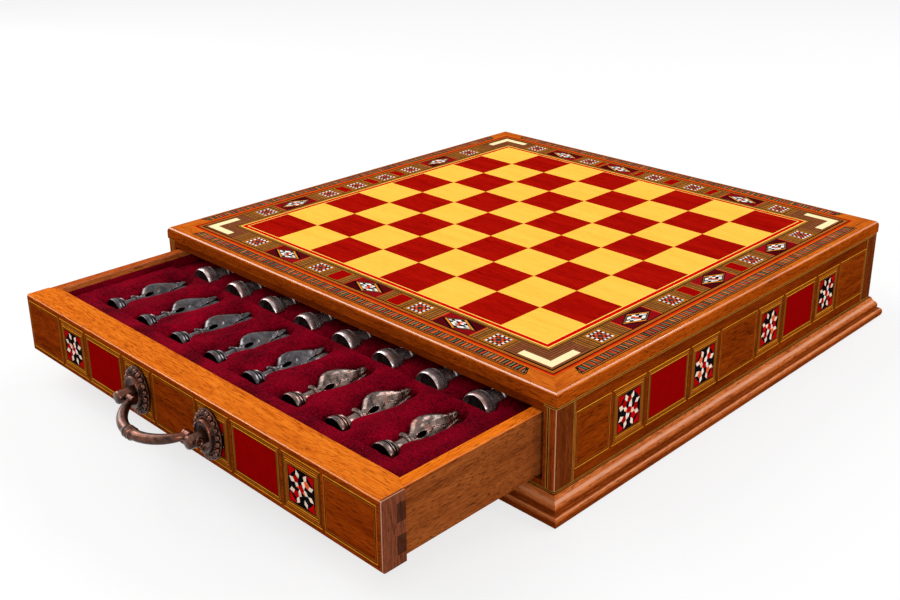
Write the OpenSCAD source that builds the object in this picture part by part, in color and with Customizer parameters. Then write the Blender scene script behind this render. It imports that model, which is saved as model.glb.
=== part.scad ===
// Chess box with two drawers: marquetry top, velvet trays and metal chessmen.
// Millimetres. +X is to the right seen from the front drawer, +Y runs from the
// front drawer to the rear drawer, +Z is up. Origin: centre of the underside.

/* [Case] */
// Side of the square case
case_w = 400; // [360:1:450]
// Height of the whole box
case_h = 82; // [74:1:100]
// Thickness of the side panels and corner posts
wall_t = 9.5; // [8:0.5:10]
// Length of a corner post along the side of the case
post_len = 16; // [12:1:20]
// Thickness of the top board and its rim
top_t = 9.5; // [8:0.5:12]
// Thickness of the board under the drawers
bottom_t = 6; // [4:0.5:8]
// Thickness of the partition between the two drawers
partition_t = 4; // [3:0.5:4]
// Rounding of the top edge
edge_r = 4; // [2:0.5:5]

/* [Base moulding] */
// Height of the moulding
base_h = 16; // [14:0.5:20]
// How far the moulding stands out from the case
base_out = 8; // [5:0.5:10]

/* [Top marquetry] */
// Distance from the playing squares to the edge of the case
border_w = 46; // [42:0.5:52]
// Thickness of the inlaid veneers
inlay_t = 1.2; // [0.8:0.1:2]
// Width of each thin yellow line round the squares
line_yellow_w = 1.4; // [1:0.1:2]
// Width of the red line round the squares
line_red_w = 2; // [1.5:0.1:2.5]
// Width of the stringing between the broad band and the mosaic strip
line_band_w = 4.9; // [3:0.1:6]
// Width of the bone corner pieces
bone_w = 6; // [4:0.5:8]
// Length of each arm of a bone corner piece
bone_len = 27; // [22:1:32]
// Distance from the bone corner pieces to the outer edge of the broad band
bone_edge = 3.4; // [0.6:0.2:5]
// Length of a panel with a rhombus
rhomb_len = 34.5; // [28:0.5:36]
// Width of the mosaic strip along each edge
strip_w = 9; // [6:0.5:10]
// Distance from the corner of the case to the end of the mosaic strip
strip_end = 28.5; // [20:0.5:60]

/* [Side marquetry] */
// Plain wood below and above the panels on the sides of the case, together
side_plain_h = 18.1; // [16:0.1:24]
// Plain wood below and above the panels on the drawers, together
drawer_plain_h = 8; // [7:0.5:14]
// Depth of the inlaid panels
tile_t = 1.2; // [0.8:0.1:2]
// Shift of the panels along the sides of the case
side_shift = -4.4; // [-5:0.2:5]

/* [Drawers] */
// How far the front drawer stands open at rest
front_open = 125; // [60:1:150]
// Height of the rail above the drawer
upper_rail_h = 5; // [4:0.5:8]
// Height of the rail below the drawer
lower_rail_h = 5.5; // [4.5:0.5:9]
// Thickness of the drawer front
face_t = 22; // [18:0.5:26]
// Gap beside and below the drawer front
face_gap = 0.5; // [0.3:0.1:1]
// Gap above the drawer front
face_gap_top = 1.5; // [0.8:0.1:2]
// Thickness of the drawer sides
drawer_side_t = 10; // [8:0.5:12]
// Thickness of the drawer back
drawer_back_t = 6; // [5:0.5:7]
// Thickness of the drawer bottom
drawer_bottom_t = 3; // [2.5:0.5:4]
// Running gap above and below the drawer sides
run_gap = 0.3; // [0.2:0.05:0.4]

/* [Trays] */
// Depth of the velvet tray below the top of the drawer
tray_drop = 6; // [5:0.5:9]
// Velvet beside the outermost chessmen beyond half a place
tray_end = 12.8; // [4:0.2:16]
// Distance from the drawer front to the base of the pawns
pawn_in = 20; // [14:0.5:24]
// Distance from the tip of the pawns to the base of the row behind them
row_gap = 15; // [10:0.5:20]
// Clearance between a chessman and its recess
piece_gap = 0.3; // [0.25:0.05:0.6]

/* [Chessmen] */
// Radius of a pawn's base
pawn_r = 9; // [8:0.25:10]
// Length of a pawn
pawn_len = 60; // [56:0.5:61]
// Radius of the base of the larger pieces
officer_r = 11; // [10:0.25:12]
// Length of the king
king_len = 65; // [60:0.5:66]

/* [Handles] */
// Distance between the two posts of a handle
handle_w = 79; // [70:1:90]
// Radius of the beaded rose
rose_r = 15; // [12:0.5:16]
// Radius of the posts
post_r = 4.2; // [3.8:0.1:5]
// Distance from the drawer front to the pivot
pivot_out = 11; // [10.5:0.5:13]
// Depth of the bail from its pivot
bail_depth = 20; // [16:0.5:21]
// Thickness radius of the bail
bail_r = 3.1; // [2.4:0.1:3.3]
// Droop of the bail at rest, degrees
bail_droop = 8; // [0:1:30]

/* [Hidden] */
$fn = 64;
half = case_w/2;
top_z = case_h - top_t;
inner = half - wall_t;
veneer_z = case_h - inlay_t;
field = half - border_w;
square_w = field/4;
r_yellow1 = field + line_yellow_w;
r_red = r_yellow1 + line_red_w;
r_yellow2 = r_red + line_yellow_w;
r_line = half - edge_r - 1.8 - strip_w;
r_band = r_line - line_band_w;
band_w = r_band - r_yellow2;
mosaic_w = 0.7*band_w;
rhomb_w = 0.79*band_w;
strip_len = case_w - 2*strip_end;
edge_k = field/154;
open_z0 = base_h + lower_rail_h;
open_z1 = top_z - upper_rail_h;
face_z = open_z0 + face_gap;
face_h = open_z1 - face_gap_top - face_z;
face_w = 2*(inner - face_gap);
side_z0 = face_z + 2.2;
runner_z = side_z0 - run_gap;
face_top = face_z + face_h;
kicker_z = face_top + run_gap;
drawer_in = face_w/2 - drawer_side_t;
face_y = -half;
face_back = face_y + face_t;
drawer_end = -partition_t/2 - 0.4;
back_y = drawer_end - drawer_back_t;
floor_z = side_z0 + 3.3;
tray_z = floor_z + drawer_bottom_t;
tray_top = face_top - tray_drop;
tray_h = tray_top - tray_z;
lining_t = 1.2;
tray_x = drawer_in - lining_t - 2;
tray_y0 = face_back + lining_t + 0.6;
tray_y1 = back_y - lining_t - 0.4;
rail_w = 25;
line_t = 0.8;
post_round = 2.5;
mitre_gap = 0.05;
line_w = 1.5;
piece_pitch = (tray_x - tray_end)/4;
pawn_y = face_back + pawn_in;
officer_y = pawn_y + pawn_len + row_gap;
king_l = min(king_len, tray_y1 - officer_y - 5);
kr_pawn = pawn_r/9;
kl_pawn = pawn_len/60;
kr_officer = officer_r/11;
kl_officer = king_l/65;
pawn_z = tray_top - 0.76*pawn_r;
officer_z = tray_top - 0.66*officer_r;
handle_z = face_z + face_h/2 + 0.5;
pivot_y = face_y - pivot_out;
pin_r = 1.85;
screw_r = 2;
tile_z = face_z + face_h/2;
side_tile_h = top_z - base_h - side_plain_h;
drawer_tile_h = face_h - drawer_plain_h;
tile_pitch = 0.2189*inner;

// colours
c_wood = [0.62, 0.30, 0.10];
c_dark = [0.36, 0.16, 0.07];
c_light = [1.0, 0.78, 0.30];
c_red = [0.60, 0.03, 0.03];
c_bone = [0.98, 0.93, 0.72];
c_band = [0.40, 0.27, 0.12];
c_black = [0.05, 0.04, 0.04];
c_velvet = [0.50, 0.00, 0.12];
c_copper = [0.45, 0.30, 0.24];
c_pewter = [0.35, 0.33, 0.33];

// marquetry motifs along each edge of the top: kind, place, length
edge_front = [["M", -120], ["D", -82.5], ["M", -44], ["R", -23, 11.5], ["D", 8],
  ["R", 39, 11.5], ["M", 59], ["D", 95], ["M", 129]];
edge_right = [["M", -123], ["D", -85], ["M", -46], ["R", -25, 10], ["D", 5.5],
  ["R", 35.5, 10], ["M", 55.5], ["D", 91], ["M", 127]];
edge_back = [["M", -127.5], ["D", -93.5], ["R", -64, 6], ["M", -45.5], ["R", -23, 9],
  ["M", -5], ["R", 11.5, 5], ["D", 34.2], ["R", 55.5, 4], ["M", 68], ["D", 98], ["M", 132]];
edge_left = [["M", -115.5], ["D", -74.5], ["M", -38.5], ["R", -22.5, 8], ["M", -7],
  ["R", 9.5, 8], ["M", 26.5], ["R", 41.5, 8], ["M", 58], ["D", 93.5], ["M", 124]];
edges = [edge_front, edge_right, edge_back, edge_left];
band_mid = (r_yellow2 + r_band)/2;

function motif_len(m) = m[0] == "M" ? mosaic_w : m[0] == "D" ? rhomb_len : m[2]*edge_k;
function motif_w(m) = m[0] == "M" ? mosaic_w : m[0] == "D" ? rhomb_w : mosaic_w;

// panels along a side or a drawer: kind, place, width
tile_small = 0.8034*tile_pitch;
tile_wide = 1.091*tile_pitch;
tile_edge = 3*tile_pitch + tile_small/2 + 2.2;
function end_tile(a, b) = ["W", (a + b)/2, b - a];
function tiles(lo, hi) = [end_tile(lo, -tile_edge), ["M", -3*tile_pitch, tile_small],
  ["R", -2*tile_pitch, tile_wide], ["M", -tile_pitch, tile_small], ["W", 0, tile_wide],
  ["M", tile_pitch, tile_small], ["R", 2*tile_pitch, tile_wide],
  ["M", 3*tile_pitch, tile_small], end_tile(tile_edge, hi)];
side_reach = half - post_len - line_w - 0.6;
side_tiles = tiles(-side_reach - side_shift, side_reach - side_shift);
drawer_tiles = tiles(-face_w/2 + 3.6, face_w/2 - 3.6);
function tile_rim(t) = t[0] == "M" ? 5.2 : 3.2;
function tile_rim_z(t) = t[0] == "M" ? 6.2 : 4.1;

// ---- helpers ----

// square slab with rounded upright edges and a rounded top edge
module rounded_slab(w, z0, z1, r) {
  a = w/2 - r;
  translate([-w/2, -a, z0]) cube([w, 2*a, z1 - z0 - r]);
  translate([-a, -w/2, z0]) cube([2*a, w, z1 - z0 - r]);
  translate([-a, -a, z0]) cube([2*a, 2*a, z1 - z0]);
  for (x = [-a, a]) {
    for (y = [-a, a]) {
      translate([x, y, z0]) cylinder(r = r, h = z1 - z0 - r);
      translate([x, y, z1 - r]) sphere(r = r);
    }
    translate([x, -a, z1 - r]) rotate([-90, 0, 0]) cylinder(r = r, h = 2*a);
    translate([-a, x, z1 - r]) rotate([0, 90, 0]) cylinder(r = r, h = 2*a);
  }
}

// prism that keeps one mitred quarter of a square frame, on the -Y side
module quarter(z0, z1, reach) {
  translate([0, 0, z0])
    linear_extrude(height = z1 - z0)
      polygon([[0, -mitre_gap], [-reach, -reach - mitre_gap], [reach, -reach - mitre_gap]]);
}

// flat square ring
module ring(r_out, r_in, z0, z1) {
  difference() {
    translate([-r_out, -r_out, z0]) cube([2*r_out, 2*r_out, z1 - z0]);
    translate([-r_in, -r_in, z0 - 1]) cube([2*r_in, 2*r_in, z1 - z0 + 2]);
  }
}

module rear() {
  rotate([0, 0, 180]) children();
}

module front() {
  translate([0, -front_open, 0]) children();
}

// ---- case ----

module base_profile() {
  r1 = base_h*0.22;
  r2 = base_h*0.155;
  difference() {
    union() {
      square([half, base_h]);
      translate([half, 0]) square([base_out - r1, 2*r1 + base_h*0.06]);
      translate([half + base_out - r1, r1 + base_h*0.03]) circle(r = r1 + base_h*0.03);
      translate([half, 0]) square([base_out - 2.6 - r2, base_h*0.89]);
      translate([half + base_out - 2.6 - r2, base_h*0.705]) circle(r = r2);
    }
    translate([-1, -1]) square([inner + 1.5, base_h + 2]);
  }
}

module base_side() {
  intersection() {
    rotate([90, 0, -90])
      translate([0, 0, -half - base_out - 2])
        linear_extrude(height = 2*(half + base_out + 2))
          base_profile();
    quarter(-1, base_h + 1, half + base_out + 1);
  }
}

module base_moulding() {
  color(c_wood)
    for (k = [0:3])
      rotate([0, 0, 90*k]) base_side();
}

module bottom_board() {
  color(c_dark)
    translate([-inner - 0.4, -inner - 0.4, 0])
      cube([2*inner + 0.8, 2*inner + 0.8, bottom_t]);
}

module corner_posts() {
  color(c_dark)
    difference() {
      intersection() {
        rounded_slab(case_w, base_h, top_z + edge_r + 5, post_round);
        union()
          for (x = [-half, inner])
            for (y = [-half, half - post_len])
              translate([x, y, base_h]) cube([wall_t, post_len, top_z - base_h]);
      }
      stringing_cut();
    }
}

module side_panels() {
  color(c_wood)
    for (s = [-1, 1])
      difference() {
        translate([s > 0 ? inner : -half, -half + post_len, base_h])
          cube([wall_t, case_w - 2*post_len, top_z - base_h]);
        stringing_cut();
        side_place(s) tile_pockets(side_tiles, side_tile_h);
      }
}

// flat tile frame of the side: local x along the panel, local z into the wood
module side_place(s) {
  translate([s*half, s*side_shift, tile_z])
    rotate([90, 0, 90*s])
      children();
}

// grooves for the lines let into the case
module stringing_cut() {
  case_lines(0.5);
}

module case_lines(over) {
  line_ring(base_h, base_h + line_w, over);
  difference() {
    line_ring(top_z - line_w, top_z, over);
    translate([-inner, -half - 1, base_h]) cube([2*inner, case_w + 2, case_h]);
  }
  for (s = [-1, 1])
    for (y = [-half + post_len, half - post_len - line_w])
      translate([s > 0 ? half - line_t : -half - over, y, base_h + line_w])
        cube([line_t + over, line_w, top_z - base_h - 2*line_w]);
  for (k = [0, 180])
    rotate([0, 0, k])
      for (x = [-inner - 4.5, inner + 2.5])
        translate([x, -half - over, base_h + line_w])
          cube([2, line_t + over, top_z - base_h - 2*line_w]);
}

// a groove has square outer corners, a line follows the rounded posts
module line_ring(z0, z1, over) {
  if (over > 0) ring(half + over, half - line_t, z0, z1);
  else
    intersection() {
      ring(half, half - line_t, z0, z1);
      rounded_slab(case_w, z0 - 1, z1 + 20, post_round);
    }
}

module case_stringing() {
  color(c_light)
    case_lines(0);
}

module drawer_rails() {
  color(c_wood)
    for (k = [0, 180])
      rotate([0, 0, k]) {
        translate([-inner, -half, open_z1])
          cube([2*inner, rail_w, top_z - open_z1]);
        difference() {
          translate([-inner, -half, base_h])
            cube([2*inner, wall_t, open_z0 - base_h]);
          stringing_cut();
        }
      }
}

module partition() {
  color(c_dark)
    translate([-inner, -partition_t/2, bottom_t])
      cube([2*inner, partition_t, top_z - bottom_t]);
}

module drawer_runners() {
  color(c_dark)
    for (k = [0, 180])
      rotate([0, 0, k])
        for (x = [-inner, inner - 18])
          translate([x, face_back + 0.6, bottom_t])
            cube([18, -face_back - 0.6 - partition_t/2, runner_z - bottom_t]);
}

module drawer_kickers() {
  color(c_dark)
    for (k = [0, 180])
      rotate([0, 0, k])
        for (x = [-inner, inner - 12])
          translate([x, -half + rail_w, kicker_z])
            cube([12, half - rail_w - partition_t/2, top_z - kicker_z]);
}

// ---- top ----

module top_board() {
  color(c_wood)
    translate([-r_line, -r_line, top_z])
      cube([2*r_line, 2*r_line, top_t - inlay_t]);
}

module rim_profile() {
  translate([r_line, top_z]) square([half - r_line, top_t - edge_r]);
  translate([r_line, top_z]) square([half - edge_r - r_line, top_t]);
  translate([half - edge_r, case_h - edge_r]) circle(r = edge_r);
}

module rim_side() {
  difference() {
    intersection() {
      rotate([90, 0, -90])
        translate([0, 0, -half - 1])
          linear_extrude(height = case_w + 2)
            rim_profile();
      quarter(top_z - 1, case_h + 1, half + 2);
    }
    translate([-strip_len/2, -r_line - strip_w, veneer_z])
      cube([strip_len, strip_w + 1, inlay_t + 1]);
  }
}

module top_rim() {
  color(c_wood)
    for (k = [0:3])
      rotate([0, 0, 90*k]) rim_side();
}

module edge_strips() {
  color(c_band)
    for (k = [0:3])
      rotate([0, 0, 90*k])
        translate([-strip_len/2, -r_line - strip_w, veneer_z])
          cube([strip_len, strip_w, inlay_t]);
}

module board_squares(first) {
  for (i = [0:7])
    for (j = [0:7])
      if ((i + j) % 2 == first)
        translate([(i - 4)*square_w, (j - 4)*square_w, veneer_z])
          cube([square_w, square_w, inlay_t]);
}

module light_squares() {
  color(c_light) board_squares(1);
}

module dark_squares() {
  color(c_red) board_squares(0);
}

module field_lines_yellow() {
  color(c_light) {
    ring(r_yellow1, field, veneer_z, case_h);
    ring(r_yellow2, r_red, veneer_z, case_h);
  }
}

module field_line_red() {
  color(c_red) ring(r_red, r_yellow1, veneer_z, case_h);
}

module border_line() {
  color(c_black) ring(r_line, r_band, veneer_z, case_h);
}

module motif_cuts(k, kind, z0, h) {
  for (m = edges[k])
    if (kind == "all" || m[0] == kind)
      translate([m[1]*edge_k - motif_len(m)/2, -band_mid - motif_w(m)/2, z0])
        cube([motif_len(m), motif_w(m), h]);
}

module bone(h) {
  b = r_band - bone_edge;
  translate([-b, -b, veneer_z]) cube([bone_len, bone_w, h]);
  translate([-b, -b, veneer_z]) cube([bone_w, bone_len, h]);
}

module border_band() {
  color(c_band)
    for (k = [0:3])
      rotate([0, 0, 90*k])
        difference() {
          intersection() {
            ring(r_band, r_yellow2, veneer_z, case_h);
            quarter(veneer_z, case_h, r_band + 1);
          }
          motif_cuts(k, "all", veneer_z - 1, inlay_t + 2);
          translate([0, 0, -1]) bone(inlay_t + 2);
          rotate([0, 0, 90]) translate([0, 0, -1]) bone(inlay_t + 2);
        }
}

module motifs(kind) {
  for (k = [0:3])
    rotate([0, 0, 90*k])
      motif_cuts(k, kind, veneer_z, inlay_t);
}

module border_mosaics() {
  color(c_black) motifs("M");
}

module border_rhombi() {
  color(c_dark) motifs("D");
}

module border_red_tiles() {
  color(c_red) motifs("R");
}

module bone_corners() {
  color(c_bone)
    for (k = [0:3])
      rotate([0, 0, 90*k]) bone(inlay_t);
}

// ---- marquetry of the sides and drawers ----

// the outer face lies in the local XY plane at z = 0, the wood below it
module tile_box(t, h, grow_x, grow_y, down, up) {
  w = t[2] - 2*grow_x;
  v = h - 2*grow_y;
  translate([t[1] - w/2, -v/2, -tile_t - down]) cube([w, v, tile_t + down + up]);
}

module tile_ring(t, h, up) {
  difference() {
    tile_box(t, h, 0, 0, 0, up);
    tile_box(t, h, tile_rim(t), tile_rim_z(t), 1, up + 1);
  }
}

module tile_pockets(list, h) {
  for (t = list)
    tile_box(t, h, 0, 0, 0, 0.5);
}

// a plain wood panel is one plate, the others are frames
module tile_frames(list, h) {
  for (t = list)
    if (t[0] == "W") tile_box(t, h, 0, 0, 0, 0);
    else tile_ring(t, h, 0);
}

module tile_fill(list, h, kind) {
  for (t = list)
    if (t[0] == kind) tile_box(t, h, tile_rim(t), tile_rim_z(t), 0, 0);
}

module side_frames() {
  color(c_light)
    for (s = [-1, 1])
      side_place(s) tile_frames(side_tiles, side_tile_h);
}

module side_red_tiles() {
  color(c_red)
    for (s = [-1, 1])
      side_place(s) tile_fill(side_tiles, side_tile_h, "R");
}

module side_mosaics() {
  color(c_black)
    for (s = [-1, 1])
      side_place(s) tile_fill(side_tiles, side_tile_h, "M");
}

// ---- drawer, drawn closed with its front towards -Y ----

module face_place() {
  translate([0, face_y, tile_z])
    rotate([90, 0, 0])
      children();
}

finger_h = 0.261*face_h;
finger_len = 10;
fingers = [face_z + 0.148*face_h, face_z + 0.591*face_h];

module drawer_fingers(h_gap) {
  for (s = [-1, 1])
    for (z = fingers)
      translate([s > 0 ? drawer_in : -face_w/2, face_back - finger_len, z])
        cube([drawer_side_t, finger_len + h_gap, finger_h]);
}

module drawer_face() {
  r = 2;
  color(c_wood)
    difference() {
      union() {
        translate([-face_w/2, face_y + r, face_z]) cube([face_w, face_t - r, face_h]);
        translate([-face_w/2 + r, face_y, face_z]) cube([face_w - 2*r, r, face_h - r]);
        translate([-face_w/2, face_y + r, face_top - r])
          rotate([0, 90, 0]) cylinder(r = r, h = face_w);
        for (x = [-face_w/2 + r, face_w/2 - r])
          translate([x, face_y + r, face_z]) cylinder(r = r, h = face_h - r);
      }
      face_place() tile_pockets(drawer_tiles, drawer_tile_h);
      drawer_fingers(1);
      translate([-drawer_in - 2, face_back - 2, floor_z])
        cube([2*drawer_in + 4, 3, drawer_bottom_t]);
      for (x = [-handle_w/2, handle_w/2])
        translate([x, face_back + 1, handle_z])
          rotate([90, 0, 0]) {
            cylinder(r = screw_r + 0.1, h = face_t + 2);
            cylinder(r = screw_r*2 + 0.4, h = 4);
          }
    }
}

module drawer_sides() {
  color(c_wood)
    difference() {
      union() {
        for (x = [-face_w/2, drawer_in])
          translate([x, face_back, side_z0])
            cube([drawer_side_t, drawer_end - face_back, face_top - side_z0]);
        drawer_fingers(0.5);
      }
      translate([-drawer_in - 2, face_back - 2, floor_z])
        cube([2*drawer_in + 4, 2 - face_back, drawer_bottom_t]);
    }
}

module drawer_back() {
  color(c_wood) {
    translate([-drawer_in, back_y, tray_z])
      cube([2*drawer_in, drawer_back_t, face_top - 4 - tray_z]);
    translate([-30, back_y, face_top - 5])
      cube([60, drawer_back_t, open_z1 + 2.5 - face_top + 5]);
  }
}

module drawer_bottom() {
  color(c_dark)
    translate([-drawer_in - 1.9, face_back - 1.9, floor_z])
      cube([2*drawer_in + 3.8, drawer_end - face_back + 1.9, drawer_bottom_t]);
}

module drawer_frames() {
  color(c_light) face_place() tile_frames(drawer_tiles, drawer_tile_h);
}

module drawer_red_tiles() {
  color(c_red) face_place() tile_fill(drawer_tiles, drawer_tile_h, "R");
}

module drawer_mosaics() {
  color(c_black)
    difference() {
      face_place() tile_fill(drawer_tiles, drawer_tile_h, "M");
      handle_bores();
    }
}

module handle_bores() {
  for (x = [-handle_w/2, handle_w/2])
    translate([x, face_y + 4, handle_z])
      rotate([90, 0, 0]) cylinder(r = screw_r + 0.1, h = 8);
}

// velvet strips glued to the inside of the drawer walls
module drawer_lining() {
  color(c_velvet)
    difference() {
      translate([-drawer_in, face_back, tray_z])
        cube([2*drawer_in, back_y - face_back, tray_h - 1]);
      translate([-drawer_in + lining_t, face_back + lining_t, tray_z - 1])
        cube([2*(drawer_in - lining_t), back_y - face_back - 2*lining_t, tray_h + 2]);
    }
}

function piece_x(i) = (i - 3.5)*piece_pitch;

module recess(r, length, axis_z, body_k) {
  g = piece_gap;
  body_r = body_k*r;
  translate([-r - g - 0.8, -2, axis_z - r - g])
    cube([2*(r + g + 0.8), 10.5, r + g + 20]);
  translate([-body_r - g, 0, axis_z - body_r - g])
    cube([2*(body_r + g), length + 1.5, body_r + g + 20]);
}

module velvet_tray() {
  color(c_velvet)
    difference() {
      translate([-tray_x, tray_y0, tray_z])
        cube([2*tray_x, tray_y1 - tray_y0, tray_h]);
      for (i = [0:7]) {
        translate([piece_x(i), pawn_y, 0]) recess(pawn_r, pawn_len + 2, pawn_z, 1.08);
        translate([piece_x(i), officer_y, 0]) recess(officer_r, king_l, officer_z, 0.782);
      }
    }
}

// ---- handle ----

module rose() {
  rotate([90, 0, 0])
    rotate_extrude()
      polygon([[screw_r + 0.1, 0], [rose_r, 0], [rose_r, 1.6], [rose_r - 1, 3],
        [rose_r - 3.6, 3.2], [rose_r - 4.2, 4.2], [9.4, 4.4], [9.4, 5.6], [8.4, 6.2],
        [7, 6.2], [5.8, 5], [screw_r + 0.1, 5]]);
}

module handle_roses() {
  color(c_copper)
    for (x = [-handle_w/2, handle_w/2])
      translate([x, face_y, handle_z]) rose();
}

module handle_posts() {
  color(c_copper)
    for (x = [-handle_w/2, handle_w/2])
      difference() {
        translate([x, face_y - 5, handle_z])
          rotate([90, 0, 0]) {
            cylinder(r = post_r, h = pivot_out - 5 + 1);
            translate([0, 0, pivot_out - 5 + 1])
              intersection() {
                sphere(r = post_r);
                cylinder(r = post_r + 1, h = post_r + 1);
              }
          }
        translate([x, face_y - 4, handle_z])
          rotate([90, 0, 0]) cylinder(r = screw_r + 0.1, h = 4);
        translate([x - post_r - 1, pivot_y, handle_z])
          rotate([0, 90, 0]) cylinder(r = pin_r + 0.05, h = 2*post_r + 2);
        translate([x > 0 ? x + post_r - 1.4 : x - post_r - 1, pivot_y, handle_z])
          rotate([0, 90, 0]) cylinder(r = pin_r + 0.55, h = 2.4);
      }
}

module handle_screws() {
  color(c_pewter)
    for (x = [-handle_w/2, handle_w/2])
      translate([x, face_back - 3, handle_z])
        rotate([90, 0, 0]) {
          cylinder(r = screw_r, h = face_t - 3 + 7.5);
          translate([0, 0, -2.4]) cylinder(r = screw_r*2, h = 2.4);
        }
}

ball_r = bail_r + 0.4;
bail_end = handle_w/2 - post_r - 0.3 - ball_r;
bail_arc_r = (bail_end*bail_end + bail_depth*bail_depth)/(2*bail_depth);
bail_arc_a = asin(bail_end/bail_arc_r);

module bail_arc(a0, a1, r) {
  rotate([0, 0, 270 + a0])
    rotate_extrude(angle = a1 - a0)
      translate([bail_arc_r, 0]) circle(r = r);
}

module bail_ring(r, w, x) {
  translate([x - w/2, -bail_depth, 0]) rotate([0, 90, 0]) cylinder(r = r, h = w);
}

module handle_bail() {
  color(c_copper)
    translate([0, pivot_y, handle_z])
      rotate([bail_droop, 0, 0]) {
        translate([0, bail_arc_r - bail_depth, 0])
          bail_arc(-bail_arc_a, bail_arc_a, bail_r);
        bail_ring(bail_r + 0.7, 8, 0);
        for (x = [-3.2, 0, 3.2]) bail_ring(bail_r + 1.1, 1.4, x);
        for (s = [-1, 1]) {
          translate([s*bail_end, 0, 0]) sphere(r = ball_r);
          translate([s > 0 ? bail_end : -handle_w/2 - post_r + 0.4, 0, 0])
            rotate([0, 90, 0])
              cylinder(r = pin_r, h = handle_w/2 + post_r - 0.4 - bail_end);
        }
      }
}

// ---- chessmen, lying with the base towards -Y, axis along +Y ----

// radii times kr, places along the axis times kl
function scaled(points, kr, kl) = [for (p = points) [p[0]*kr, p[1]*kl]];

module turned(points, kr, kl) {
  rotate([-90, 0, 0]) rotate_extrude() polygon(scaled(points, kr, kl));
}

module block(x, y, z, w, l, h, kr, kl) {
  translate([x*kr, y*kl, z*kr]) cube([w*kr, l*kl, h*kr]);
}

module bore(x, y, r, kr, kl) {
  translate([x*kr, y*kl, -5*kr]) cylinder(r = r*kr, h = 10*kr);
}

// crested head seen flat: distance from the axis, place along the piece
head_outline = [[-3.4, 22], [-2.6, 26], [-3.3, 33], [-3.9, 42], [-4.1, 50], [-3.7, 58], [-3.5, 62],
  [-1.4, 58.5], [0, 57], [1.6, 60], [2.4, 62.5], [4.2, 58.5], [6, 51], [8.2, 46], [10.3, 40],
  [10.9, 36], [10.3, 32.6], [8, 29.4], [4.4, 26], [3.4, 22]];
head_tilt = 40;
head_t = 6;

module horse_head(kr, kl) {
  rotate([0, -90 - head_tilt, 0])
    translate([0, 0, -head_t/2*kr])
      linear_extrude(height = head_t*kr)
        difference() {
          polygon(scaled(head_outline, kr, kl));
          for (y = [31.6, 34.6])
            translate([1.6*kr, y*kl]) circle(r = 2.3*kr);
          translate([-0.7*kr, 31.6*kl]) square([4.6*kr, 3*kl]);
        }
}

module pawn() {
  kr = kr_pawn;
  kl = kl_pawn;
  turned([[0, 2.6], [7, 2.6], [7.8, 0], [9, 0.6], [9, 3.6], [8.6, 4], [8.6, 5], [7.4, 5.6],
    [7.2, 6.2], [6.8, 7.8], [5.4, 8.8], [4.3, 11], [3.8, 17.4], [5.2, 18.4], [5.2, 19.6],
    [4.4, 20], [5.1, 21], [4.6, 22], [3.6, 24], [0, 24]], kr, kl);
  horse_head(kr, kl);
}

module officer_stem(top) {
  turned([[0, 2.4], [9.2, 2.4], [9.8, 0], [11, 0.6], [11, 5.6], [10.2, 6], [10.2, 7], [9.6, 7.2],
    [9.6, 8], [8.2, 8.6], [7.4, 10], [6.5, 13], [6.2, 20], [7.2, 21], [7.2, 22.4], [6.2, 23],
    [6.2, 24.4], [7, 25], [7, 26], [5, 27.4], [4.6, top - 4], [6.8, top - 2.4],
    [6.8, top - 1], [5, top], [0, top]], kr_officer, kl_officer);
}

module officer_body(points) {
  turned(points, kr_officer, kl_officer);
}

module officer_cut(a, y, w, l, h) {
  translate([0, y*kl_officer, 0])
    rotate([0, a, 0])
      translate([-w/2*kr_officer, 0, -h/2*kr_officer])
        cube([w*kr_officer, l*kl_officer, h*kr_officer]);
}

module rook() {
  officer_stem(38);
  difference() {
    officer_body([[0, 37], [5, 37], [7.6, 41], [7.6, 52], [5.2, 52], [5.2, 48], [0, 48]]);
    for (a = [0, 60, 120])
      officer_cut(a, 49.5, 18, 4, 2.4);
  }
}

module knight() {
  kr = kr_officer;
  kl = kl_officer;
  officer_stem(34);
  difference() {
    intersection() {
      officer_body([[0, 33], [5, 33], [8.2, 40], [8.4, 48], [7, 55], [5, 59], [0, 59]]);
      block(-9, 33, -4.4, 18, 40, 8.8, kr, kl);
    }
    bore(1, 43, 2.4, kr, kl);
    bore(0, 55, 1.6, kr, kl);
    block(-1, 55, -5, 2, 6, 10, kr, kl);
  }
}

module bishop() {
  officer_stem(38);
  difference() {
    officer_body([[0, 37], [4.6, 37], [7, 42], [7.2, 46], [5.4, 52], [2.2, 56.6], [2.6, 58],
      [1.4, 60], [0, 60]]);
    block(2, 47, -9, 9, 1.8, 18, kr_officer, kl_officer);
  }
}

module queen() {
  officer_stem(42);
  difference() {
    officer_body([[0, 41], [4.8, 41], [5.4, 48], [8, 57], [6.8, 57], [5.6, 59], [2.4, 60],
      [2.4, 62.4], [0, 63]]);
    for (a = [0:45:135])
      officer_cut(a, 55.5, 20, 3, 2);
  }
}

module king() {
  officer_stem(42);
  officer_body([[0, 41], [4.8, 41], [5.4, 47], [8.2, 53], [7, 55], [2.6, 56.6], [2.2, 58],
    [0, 58]]);
  block(-1.4, 57, -1.4, 2.8, 8, 2.8, kr_officer, kl_officer);
  block(-3.6, 60, -1.4, 7.2, 2.4, 2.8, kr_officer, kl_officer);
}

module in_row(list) {
  for (i = list)
    translate([piece_x(i), officer_y, officer_z]) children();
}

module drawer_pawns() {
  color(c_pewter)
    for (i = [0:7])
      translate([piece_x(i), pawn_y, pawn_z]) pawn();
}

module drawer_rooks() {
  color(c_pewter) in_row([0, 7]) rook();
}

module drawer_knights() {
  color(c_pewter) in_row([1, 6]) knight();
}

module drawer_bishops() {
  color(c_pewter) in_row([2, 5]) bishop();
}

module drawer_queen() {
  color(c_pewter) in_row([3]) queen();
}

module drawer_king() {
  color(c_pewter) in_row([4]) king();
}

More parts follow.
